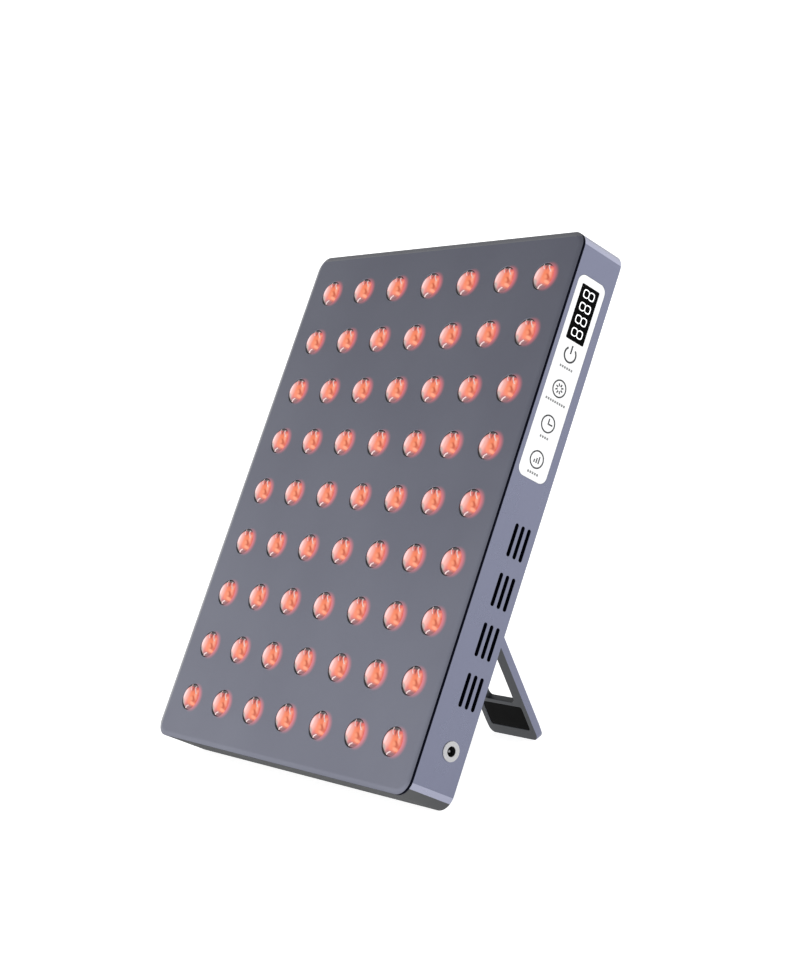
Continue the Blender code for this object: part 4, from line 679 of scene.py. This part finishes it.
def front_plate():
    """The plate: a softly pillowed edge with a painted highlight on its left and top slopes, eased holes
    whose walls take a duller coat that renders lighter than their shade (painted light), and a black side all
    round.
    """
    bm = bmesh.new()
    drop = sum(rise for width, rise in PILLOW_STEPS)
    rounded_face(bm, PANEL_WIDTH, PANEL_HEIGHT, CORNER_RADIUS, z=-drop)
    thicken(bm, PLATE_THICKNESS - drop)
    for face in bm.faces:
        face.material_index = 1 if abs(face.normal.z) < TURNED else 0
    face = max(bm.faces, key=lambda face: face.calc_center_median().z)
    for width, rise in PILLOW_STEPS:
        bmesh.ops.inset_region(bm, faces=[face], thickness=width, depth=rise, use_even_offset=True)
    holes = bmesh.new()
    for x, y in lamp_places():
        round_face(holes, HOLE_DIAMETER, HOLE_STEPS, x, y, PLATE_THICKNESS)
    thicken(holes, 3 * PLATE_THICKNESS)
    bm = carve(bm, holes)
    ease(bm, HOLE_EDGE, 3, lambda point: abs(point.z) < NEAR)
    rim = sum(width for width, rise in PILLOW_STEPS)
    for face in bm.faces:
        middle = face.calc_center_median()
        # Painted highlight: the left and top slopes of the pillowed edge take the lighter coat
        in_left_or_top_rim = min(PANEL_WIDTH / 2 + middle.x, PANEL_HEIGHT / 2 - middle.y) < rim
        if in_left_or_top_rim and TURNED < face.normal.z < FLAT:
            face.material_index = 2
        # Painted light: the hole walls take the duller bore coat, which renders lighter than their shade
        inside_rims = min(PANEL_WIDTH / 2 - abs(middle.x), PANEL_HEIGHT / 2 - abs(middle.y)) > rim
        if inside_rims and abs(face.normal.z) < ON_EDGE:
            face.material_index = 3
    marks = bm.loops.layers.uv.new("pitch")
    for face in bm.faces:
        for loop in face.loops:
            across, up = loop.vert.co.xy / LED_PITCH
            loop[marks].uv = (across + LED_COLUMNS / 2, up + LED_ROWS / 2)
    finishes = [plate_coat, black_edge_and_vent_shade, plate_rim_highlight, bore_coat]
    fit("front_plate_dressed", bm, front_view, finishes, "housing", ["front_plate"])


def lens_height(radius):
    """Height of the lens's face at a radius."""
    return -LENS_SINK + DOME_HEIGHT * math.sqrt(max(0, 1 - (2 * radius / DOME_DIAMETER) ** 2))


def lens_profile():
    """Dome, rim and tapered foot of one lens."""
    rim_top = -LENS_SINK
    rim_bottom = rim_top - LENS_RIM_THICKNESS
    turns = [math.pi / 2 * step / DOME_STEPS for step in range(DOME_STEPS + 1)]
    dome = [(DOME_DIAMETER / 2 * math.sin(angle), rim_top + DOME_HEIGHT * math.cos(angle)) for angle in turns]
    rim = LENS_DIAMETER / 2
    edge = [(rim - LENS_EDGE, rim_top), (rim, rim_top - LENS_EDGE), (rim, rim_bottom)]
    return dome + edge + [(LENS_FOOT_DIAMETER / 2, -BOARD_FRONT), (0, -BOARD_FRONT)]


def lens_mesh():
    """One lens on its axis, marked in millimetres from it for the glow."""
    bm = bmesh.new()
    turn(bm, lens_profile(), LENS_SIDES)
    marks = bm.loops.layers.uv.new("lens")
    for face in bm.faces:
        face.material_index = 0 if face.normal.z > 0.1 else 1
        for loop in face.loops:
            loop[marks].uv = loop.vert.co.xy
    return as_mesh(bm)


def rib_mesh():
    """The fine ribs that lie on one lens."""
    bm = bmesh.new()
    for start, end in LENS_RIBS:
        start, end = Vector((*start, 0)), Vector((*end, 0))
        along = end - start
        place = (
            Matrix.Translation((start + end) / 2)
            @ Vector((0, 1, 0)).rotation_difference(along).to_matrix().to_4x4()
            @ Matrix.Diagonal((RIB_WIDTH, along.length, 1, 1))
        )
        bmesh.ops.create_grid(bm, x_segments=1, y_segments=RIB_STEPS, size=0.5, matrix=place)
    for vert in bm.verts:
        radius = vert.co.xy.length
        vert.co.z = lens_height(radius) + RIB_RISE if radius < DOME_DIAMETER / 2 else RIB_OUTER_RISE
    thicken(bm, 3 * RIB_RISE)
    return as_mesh(bm)


def lamps():
    """The lenses with their ribs, and the board that carries them."""
    places = [Matrix.Translation((x, y, 0)) for x, y in lamp_places()]
    bm = bmesh.new()
    bm.loops.layers.uv.new("lens")
    add_copies(bm, lens_mesh(), places)
    fit("lamp_lenses", bm, front_view, [lens_glow, lens_foot], "housing", ["led_board"])
    bm = bmesh.new()
    add_copies(bm, rib_mesh(), places)
    fit("lens_ribs", bm, front_view, [rib_glow], "housing")
    bm = bmesh.new()
    rounded_face(bm, BOARD_WIDTH, BOARD_HEIGHT, BOARD_RADIUS, z=-BOARD_FRONT)
    thicken(bm, BOARD_THICKNESS)
    fit("lamp_board", bm, front_view, [board_white], "housing")


# Side walls

def vent_places():
    """(depth, height) of every vent on a side wall."""
    first = VENT_DEPTH - (VENTS_IN_GROUP - 1) / 2 * VENT_PITCH
    depths = [first + index * VENT_PITCH for index in range(VENTS_IN_GROUP)]
    rises = [VENT_FIRST_RISE - group * VENT_GROUP_PITCH for group in range(VENT_GROUPS)]
    return [(depth, rise) for rise in rises for depth in depths]


def wall_ring(bm):
    """The plain ring of the casing's walls."""
    for shrink in (0, WALL):
        width = PANEL_WIDTH - 2 * shrink
        height = PANEL_HEIGHT - 2 * shrink
        rounded_face(bm, width, height, CORNER_RADIUS - shrink, z=-FRAME_FRONT)
    punch(bm)
    thicken(bm, PANEL_DEPTH - FRAME_FRONT)


def within_wall(point):
    """Whether a point lies between the casing's front and back edges."""
    return FRAME_FRONT + WALL_MARGIN < point.x < PANEL_DEPTH - WALL_MARGIN


def choose_wall_finishes(bm, vent_top):
    """Black inside the vents as painted shade, a painted highlight on part of each rounded corner, and a dull
    dark underside as painted shade.
    """
    for face in bm.faces:
        middle = face.calc_center_median()
        in_vents = middle.y < vent_top and abs(middle.y) < PANEL_HEIGHT / 3 and within_wall(middle)
        # Painted shade: the vents' walls are black
        if in_vents and abs(face.normal.z) < ON_EDGE:
            face.material_index = 1
        from_end = PANEL_HEIGHT / 2 - abs(middle.y)
        from_side = PANEL_WIDTH / 2 - abs(middle.z)
        in_corner = max(from_end, from_side) < CORNER_RADIUS and abs(face.normal.x) < TURNED
        low, high = BEND_HEAD if middle.y > 0 else BEND_FOOT
        # Painted highlight: a lighter band on each rounded corner
        if in_corner and low < abs(face.normal.z) < high:
            face.material_index = 2
        # Painted shade: the underside faces take the dark coat
        elif middle.y < CORNER_RADIUS - PANEL_HEIGHT / 2 and face.normal.y < UNDERSIDE_TILT:
            face.material_index = 3


def side_frame():
    """The four walls with vents, strip seat, key openings and socket hole."""
    bm = bmesh.new()
    wall_ring(bm)
    bmesh.ops.transform(bm, matrix=right_view.inverted() @ front_view, verts=bm.verts[:])

    slots = bmesh.new()
    for depth, rise in vent_places():
        rounded_face(slots, VENT_WIDTH, VENT_LENGTH, VENT_RADIUS, depth, rise, PANEL_WIDTH, steps=VENT_STEPS)
    thicken(slots, 2 * PANEL_WIDTH)
    bm = carve(bm, slots)

    beyond = PANEL_WIDTH / 2 + WALL
    seat = bmesh.new()
    grown = 2 * STRIP_SEAT_GAP
    middle = STRIP_TOP - STRIP_LENGTH / 2
    rounded_face(
        seat, STRIP_WIDTH + grown, STRIP_LENGTH + grown, STRIP_RADIUS + STRIP_SEAT_GAP, STRIP_DEPTH, middle,
        beyond
    )
    thicken(seat, beyond - SEAT_FLOOR)
    bm = carve(bm, seat)

    openings = bmesh.new()
    grown = 4 * CLEARANCE
    rounded_face(openings, WINDOW_WIDTH, WINDOW_LENGTH, WINDOW_RADIUS, STRIP_DEPTH, WINDOW_RISE, beyond)
    for rise in KEY_RISES.values():
        round_face(openings, KEY_DIAMETER + grown, KEY_SIDES, STRIP_DEPTH, rise, beyond)
    round_face(openings, JACK_BARREL_DIAMETER + grown, JACK_SIDES, JACK_DEPTH, JACK_RISE, beyond)
    thicken(openings, 4 * WALL)
    bm = carve(bm, openings)

    outer = PANEL_WIDTH / 2 - NEAR
    vent_top = VENT_FIRST_RISE + VENT_LENGTH
    ease(bm, VENT_EDGE, 2, lambda point: abs(point.z) > outer and point.y < vent_top and within_wall(point))
    ease(bm, VENT_EDGE, 2, lambda point: point.z > outer and point.y > vent_top and within_wall(point))
    choose_wall_finishes(bm, vent_top)
    finishes = [casing_coat, black_edge_and_vent_shade, bend_highlight_coat, underside_shade_coat]
    fit("side_walls", bm, right_view, finishes, "housing", ["side_frame"])


def vent_shade_sheets():
    """A black sheet behind the vents of each side wall: painted shade of the casing's inside."""
    bm = bmesh.new()
    top = VENT_FIRST_RISE + VENT_LENGTH
    foot = VENT_FIRST_RISE - (VENT_GROUPS - 1) * VENT_GROUP_PITCH - VENT_LENGTH
    width = SHADE_SHEET_BACK - SHADE_SHEET_FRONT
    depth = (SHADE_SHEET_FRONT + SHADE_SHEET_BACK) / 2
    for rest in (SHADE_SHEET_REST, SHADE_SHEET_THICKNESS - SHADE_SHEET_REST):
        rounded_face(bm, width, top - foot, SHADE_SHEET_RADIUS, depth, (top + foot) / 2, rest, steps=3)
    thicken(bm, SHADE_SHEET_THICKNESS)
    fit("vent_shade_sheets", bm, right_view, [black_edge_and_vent_shade], "housing")


# Control strip

def control_film():
    """The white film with its window and key cut-outs."""
    bm = bmesh.new()
    middle = STRIP_TOP - STRIP_LENGTH / 2
    rounded_face(bm, STRIP_WIDTH, STRIP_LENGTH, STRIP_RADIUS, STRIP_DEPTH, middle, STRIP_FACE)
    window_width = WINDOW_WIDTH + 2 * WINDOW_GAP
    window_length = WINDOW_LENGTH + 2 * WINDOW_GAP
    rounded_face(
        bm, window_width, window_length, WINDOW_RADIUS, STRIP_DEPTH, WINDOW_RISE, STRIP_FACE,
        steps=WINDOW_STEPS
    )
    for rise in KEY_RISES.values():
        round_face(bm, KEY_DIAMETER + 2 * KEY_GAP, KEY_SIDES, STRIP_DEPTH, rise, STRIP_FACE)
    punch(bm)
    thicken(bm, STRIP_THICKNESS)
    fit("control_film", bm, right_view, [film_white], "housing", ["control_overlay"])


def digit_lobe():
    """Half an 8 that lies on its side: a rounded ring right of the digit's middle."""
    bm = bmesh.new()
    reach = DIGIT_HEIGHT / 2
    hole = reach - 1.5 * DIGIT_STROKE
    inner = DIGIT_CORNER - DIGIT_STROKE / 2
    rounded_face(bm, reach - DIGIT_GAP, DIGIT_WIDTH, DIGIT_CORNER, (reach + DIGIT_GAP) / 2, steps=DIGIT_STEPS)
    width = DIGIT_WIDTH - 2 * DIGIT_STROKE
    rounded_face(bm, hole, width, inner, (DIGIT_STROKE + hole) / 2, steps=DIGIT_STEPS)
    punch(bm)
    thicken(bm, 2 * PRINT_RISE)
    return bm


def display():
    """The black window with its four lit digits."""
    bm = bmesh.new()
    rounded_face(
        bm, WINDOW_WIDTH, WINDOW_LENGTH, WINDOW_RADIUS, STRIP_DEPTH, WINDOW_RISE, STRIP_FACE,
        steps=WINDOW_STEPS
    )
    thicken(bm, WINDOW_THICKNESS)
    ease(bm, WINDOW_GAP, 1, lambda point: point.z > STRIP_FACE - NEAR)
    fit("display_pane", bm, right_view, [window_black], "housing", ["display_window"])

    lobe = as_mesh(digit_lobe())
    places = []
    for digit in range(DIGITS):
        rise = WINDOW_RISE + DIGIT_SHIFT + ((DIGITS - 1) / 2 - digit) * DIGIT_PITCH
        middle = Matrix.Translation((STRIP_DEPTH, rise, STRIP_FACE + PRINT_RISE))
        places += [middle, middle @ Matrix.Rotation(math.pi, 4, "Z")]
    bm = bmesh.new()
    add_copies(bm, lobe, places)
    fit("display_digits", bm, right_view, [digit_glow], "housing")


def key_cap(name, rise, draw):
    """One pressed spot of the film with its printed sign."""
    bm = bmesh.new()
    round_face(bm, KEY_DIAMETER, KEY_SIDES, STRIP_DEPTH, rise, STRIP_FACE)
    thicken(bm, KEY_THICKNESS)
    body = f"{name}_key"
    fit(f"{name}_cap", bm, right_view, [film_white], body, [body])
    bm = bmesh.new()
    draw(bm)
    bmesh.ops.translate(bm, vec=(STRIP_DEPTH, rise, STRIP_FACE + PRINT_RISE), verts=bm.verts[:])
    thicken(bm, 2 * PRINT_RISE)
    fit(f"{name}_sign", bm, right_view, [print_grey], body)


def bar(bm, length, width, x=0.0, y=0.0, angle=0.0):
    """A flat bar, upright before its turn about the middle."""
    turned = Matrix.Rotation(angle, 4, "Z") @ Matrix.Translation((x, y, 0))
    place = turned @ Matrix.Diagonal((width, length, 1, 1))
    bmesh.ops.create_grid(bm, x_segments=1, y_segments=1, size=0.5, matrix=place)


def ring(bm, diameter, stroke, gap=0.0):
    """A flat ring, open at its top by a gap given as an angle."""
    inner = diameter / 2 - stroke
    start = math.pi / 2 + gap / 2
    way = Vector((math.cos(start), math.sin(start), 0))
    ends = [bm.verts.new(radius * way) for radius in (inner, inner + stroke)]
    edge = bm.edges.new(ends)
    bmesh.ops.spin(
        bm, geom=ends + [edge], cent=(0, 0, 0), axis=(0, 0, 1), dvec=(0, 0, 0), angle=2 * math.pi - gap,
        steps=RING_STEPS, use_merge=gap == 0
    )


def power_sign(bm):
    """A broken ring with a bar in its gap."""
    ring(bm, POWER_DIAMETER, POWER_STROKE, POWER_GAP)
    bar(bm, POWER_BAR_LENGTH, POWER_STROKE, y=POWER_BAR_REACH)


def brightness_sign(bm):
    """Eight rays inside a ring."""
    ring(bm, SIGN_DIAMETER, SIGN_STROKE)
    for ray in range(RAYS):
        bar(bm, RAY_LENGTH, SIGN_STROKE, y=RAY_REACH, angle=2 * math.pi / RAYS * (ray + 0.5))


def timer_sign(bm):
    """A clock's ring and hands."""
    ring(bm, SIGN_DIAMETER, SIGN_STROKE)
    bar(bm, MINUTE_HAND_LENGTH, SIGN_STROKE, y=MINUTE_HAND_REACH)
    bar(bm, HOUR_HAND_LENGTH, SIGN_STROKE, y=HOUR_HAND_REACH, angle=-math.pi / 2)


def mode_sign(bm):
    """Three rising level bars inside a ring."""
    ring(bm, SIGN_DIAMETER, SIGN_STROKE)
    for step in (-1, 0, 1):
        height = LEVEL_HEIGHT + step * LEVEL_STEP
        bar(bm, height, SIGN_STROKE, x=step * LEVEL_PITCH, y=LEVEL_FOOT + height / 2)


def caption_dashes():
    """Short plain dashes under the signs."""
    bm = bmesh.new()
    for name, rise in KEY_RISES.items():
        dashes = round(CAPTION_WIDTHS[name] / CAPTION_PITCH)
        for dash in range(dashes):
            shift = (dash - (dashes - 1) / 2) * CAPTION_PITCH
            middle = Matrix.Translation((STRIP_DEPTH + shift, rise - CAPTION_DROP, STRIP_FACE + PRINT_RISE))
            place = middle @ Matrix.Diagonal((CAPTION_DASH, CAPTION_HEIGHT, 1, 1))
            bmesh.ops.create_grid(bm, x_segments=1, y_segments=1, size=0.5, matrix=place)
    thicken(bm, 2 * PRINT_RISE)
    fit("caption_dashes", bm, right_view, [caption_grey], "housing")


def control_strip():
    """Film, display and keys."""
    control_film()
    display()
    signs = {"power": power_sign, "brightness": brightness_sign, "timer": timer_sign, "mode": mode_sign}
    for name, rise in KEY_RISES.items():
        key_cap(name, rise, signs[name])
    caption_dashes()


# Socket

def socket():
    """The round socket with its pin, and the light ring round its mouth."""
    place = Matrix.Translation((JACK_DEPTH, JACK_RISE, PANEL_WIDTH / 2))
    pin = JACK_PIN_DIAMETER / 2
    bore = JACK_BORE_DIAMETER / 2
    barrel = JACK_BARREL_DIAMETER / 2
    bm = bmesh.new()
    nose = JACK_PIN_NOSE
    tip = arc((pin - nose, -JACK_PIN_SINK - nose), nose, math.pi / 2, 0, 4)
    turn(bm, [(0, -JACK_PIN_SINK)] + tip + [
        (pin, -JACK_BORE_DEPTH), (bore, -JACK_BORE_DEPTH), (bore, 0), (barrel, 0), (barrel, -JACK_LENGTH),
        (0, -JACK_LENGTH)
    ], JACK_SIDES)
    for face in bm.faces:
        middle = face.calc_center_median()
        if middle.xy.length < pin + NEAR and middle.z > -JACK_BORE_DEPTH:
            face.material_index = 1
    bmesh.ops.transform(bm, matrix=place, verts=bm.verts[:])
    fit("socket_barrel", bm, right_view, [black_plastic, screw_steel], "housing", ["dc_jack"])

    bm = bmesh.new()
    outer = JACK_RING_DIAMETER / 2
    edge = JACK_RING_EDGE
    top, foot = JACK_RING_TOP, JACK_RING_FOOT
    rim = arc((outer - edge, top - edge), edge, math.pi / 2, 0, 3)
    lip = arc((bore + edge, top - edge), edge, math.pi, math.pi / 2, 3)
    turn(bm, [(bore, foot)] + lip + rim + [(outer, foot), (bore, foot)], JACK_SIDES)
    bmesh.ops.transform(bm, matrix=place, verts=bm.verts[:])
    fit("socket_ring", bm, right_view, [ring_metal], "housing", ["jack_ring"])


# Leg

def kickstand():
    """The leg: heel and knuckle at the hinge, a long window, a pad seat and round foot corners."""
    half = LEG_THICKNESS / 2
    knuckle = arc((0, 0), half, math.pi / 2, math.pi / 2 - open_angle, LEG_STEPS)
    last = knuckle[-1]
    slope = (LEG_HEEL - last[0]) / math.cos(open_angle)
    heel_front = (LEG_HEEL, last[1] - slope * math.sin(open_angle))
    profile = [(LEG_HEEL, -half), (-LEG_LENGTH, -half), (-LEG_LENGTH, half)] + knuckle + [heel_front]
    bm = bmesh.new()
    corners = [bm.verts.new((-LEG_WIDTH / 2, along, rise)) for along, rise in profile]
    side = bm.faces.new(corners)
    made = bmesh.ops.extrude_face_region(bm, geom=[side])["geom"]
    moved = [part for part in made if isinstance(part, bmesh.types.BMVert)]
    bmesh.ops.translate(bm, vec=(LEG_WIDTH, 0, 0), verts=moved)
    bmesh.ops.recalc_face_normals(bm, faces=bm.faces[:])
    foot = [
        edge for edge in bm.edges
        if all(v.co.y < 1 - LEG_LENGTH for v in edge.verts) and edge.verts[0].co.x * edge.verts[1].co.x > 0
    ]
    bmesh.ops.bevel(
        bm, geom=foot, offset=LEG_FOOT_RADIUS, segments=LEG_STEPS, profile=0.5, affect="EDGES", material=-1
    )

    tool = bmesh.new()
    window_length = LEG_LENGTH - LEG_WINDOW_HEAD - LEG_WINDOW_FOOT
    rounded_face(
        tool, LEG_WINDOW_WIDTH, window_length, LEG_WINDOW_RADIUS, y=-LEG_WINDOW_HEAD - window_length / 2,
        z=LEG_THICKNESS, steps=LEG_WINDOW_STEPS
    )
    thicken(tool, 2 * LEG_THICKNESS)
    bm = carve(bm, tool)

    tool = bmesh.new()
    pad_middle = PAD_FOOT + PAD_HEIGHT / 2 - LEG_LENGTH
    seat_gap = CLEARANCE / 2
    rounded_face(
        tool, PAD_WIDTH + 2 * seat_gap, PAD_HEIGHT + 2 * seat_gap, PAD_RADIUS + seat_gap, y=pad_middle,
        z=LEG_THICKNESS
    )
    thicken(tool, LEG_THICKNESS - half + PAD_SINK + PAD_THICKNESS + seat_gap)
    bm = carve(bm, tool)
    ease(bm, LEG_EDGE, 2, lambda point: point.y < -LEG_THICKNESS and abs(abs(point.z) - half) < NEAR)

    window_head = LEG_WINDOW_HEAD - LEG_WINDOW_MARGIN
    window_foot = LEG_LENGTH - LEG_WINDOW_FOOT + LEG_WINDOW_MARGIN
    window_side = LEG_WINDOW_WIDTH / 2 + LEG_WINDOW_MARGIN
    # Painted shade: the leg's front face and the walls of its window are dark grey
    for face in bm.faces:
        middle = face.calc_center_median()
        on_front = face.normal.z > FACING and middle.z > 0
        in_window = window_head < -middle.y < window_foot and abs(middle.x) < window_side
        if on_front or in_window and abs(face.normal.z) < TURNED:
            face.material_index = 1
    fit("leg", bm, leg_view, [casing_coat, leg_shade_grey], "kickstand", ["kickstand"])

    bm = bmesh.new()
    rounded_face(bm, PAD_WIDTH, PAD_HEIGHT, PAD_RADIUS, y=pad_middle, z=half - PAD_SINK)
    thicken(bm, PAD_THICKNESS)
    ease(bm, PAD_EDGE, 2, lambda point: point.z > half - PAD_SINK - NEAR)
    fit("leg_pad", bm, leg_view, [pad_rubber], "kickstand", ["stand_pad"])


def paint_solids():
    """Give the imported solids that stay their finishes."""
    finishes = {
        "rear_cover": cover_plastic, "front_gasket": foam_black, "heat_sink": bare_metal,
        "driver_board": board_green, "control_board": board_green, "display_module": black_plastic,
        "hinge_pin": screw_steel, "control_lead": wire_grey,
    }
    kinds = {"lead": wire_red, "screw": screw_steel, "switch": black_plastic, "fan": black_plastic}
    for name, solid in frame["nodes"].items():
        named = [coat for kind, coat in kinds.items() if kind in name]
        coat = finishes.get(name) or (named[0] if named else black_plastic)
        solid.data.materials.clear()
        solid.data.materials.append(coat)


# Camera, floor and light

def camera():
    """The photograph's view; its place and the point it looks at lie in the panel's frame."""
    seen = bpy.data.cameras.new("camera")
    seen.lens = CAMERA_LENS
    eye = bpy.data.objects.new("camera", seen)
    bpy.context.scene.collection.objects.link(eye)
    place = panel @ Vector(CAMERA_PLACE)
    sight = panel @ Vector(CAMERA_SIGHT)
    turned = (sight - place).to_track_quat("-Z", "Y").to_matrix() @ Matrix.Rotation(CAMERA_ROLL, 3, "Z")
    eye.matrix_world = Matrix.Translation(place) @ turned.to_4x4()
    bpy.context.scene.camera = eye


def area_light(name, place, target, size, power):
    """A soft square light."""
    lamp = bpy.data.lights.new(name, "AREA")
    lamp.size = size
    lamp.energy = power
    holder = bpy.data.objects.new(name, lamp)
    bpy.context.scene.collection.objects.link(holder)
    place, target = Vector(place), Vector(target)
    turned = (target - place).to_track_quat("-Z", "Y").to_matrix()
    holder.matrix_world = Matrix.Translation(place) @ turned.to_4x4()


def stage():
    """A pale floor, a studio sky that is bright low down and dim overhead, and two soft light cards."""
    bm = bmesh.new()
    bmesh.ops.create_grid(bm, x_segments=1, y_segments=1, size=FLOOR_REACH)
    floor = bpy.data.objects.new("floor", as_mesh(bm, "floor"))
    bpy.context.scene.collection.objects.link(floor)
    floor.data.materials.append(finish(
        "floor_white", FLOOR_WHITE, FLOOR_ROUGHNESS, Emission_Color=(1, 1, 1, 1), Emission_Strength=FLOOR_GLOW
    ))

    world = bpy.data.worlds.new("studio")
    world.use_nodes = True
    bpy.context.scene.world = world
    split = node(world, "ShaderNodeSeparateXYZ")
    join(world, node(world, "ShaderNodeTexCoord").outputs["Generated"], split.inputs["Vector"])
    sky = add_ramp(world, split.outputs["Z"], [(height, (level, level, level)) for height, level in SKY])
    join(world, sky, world.node_tree.nodes["Background"].inputs["Color"])

    area_light("back_card", BACK_CARD_PLACE, BACK_CARD_AIM, BACK_CARD_SIZE, BACK_CARD_POWER)
    area_light("front_card", FRONT_CARD_PLACE, FRONT_CARD_AIM, FRONT_CARD_SIZE, FRONT_CARD_POWER)
    bpy.context.scene.view_settings.view_transform = "Standard"


camera()
stage()
paint_solids()
front_plate()
lamps()
side_frame()
vent_shade_sheets()
control_strip()
socket()
kickstand()
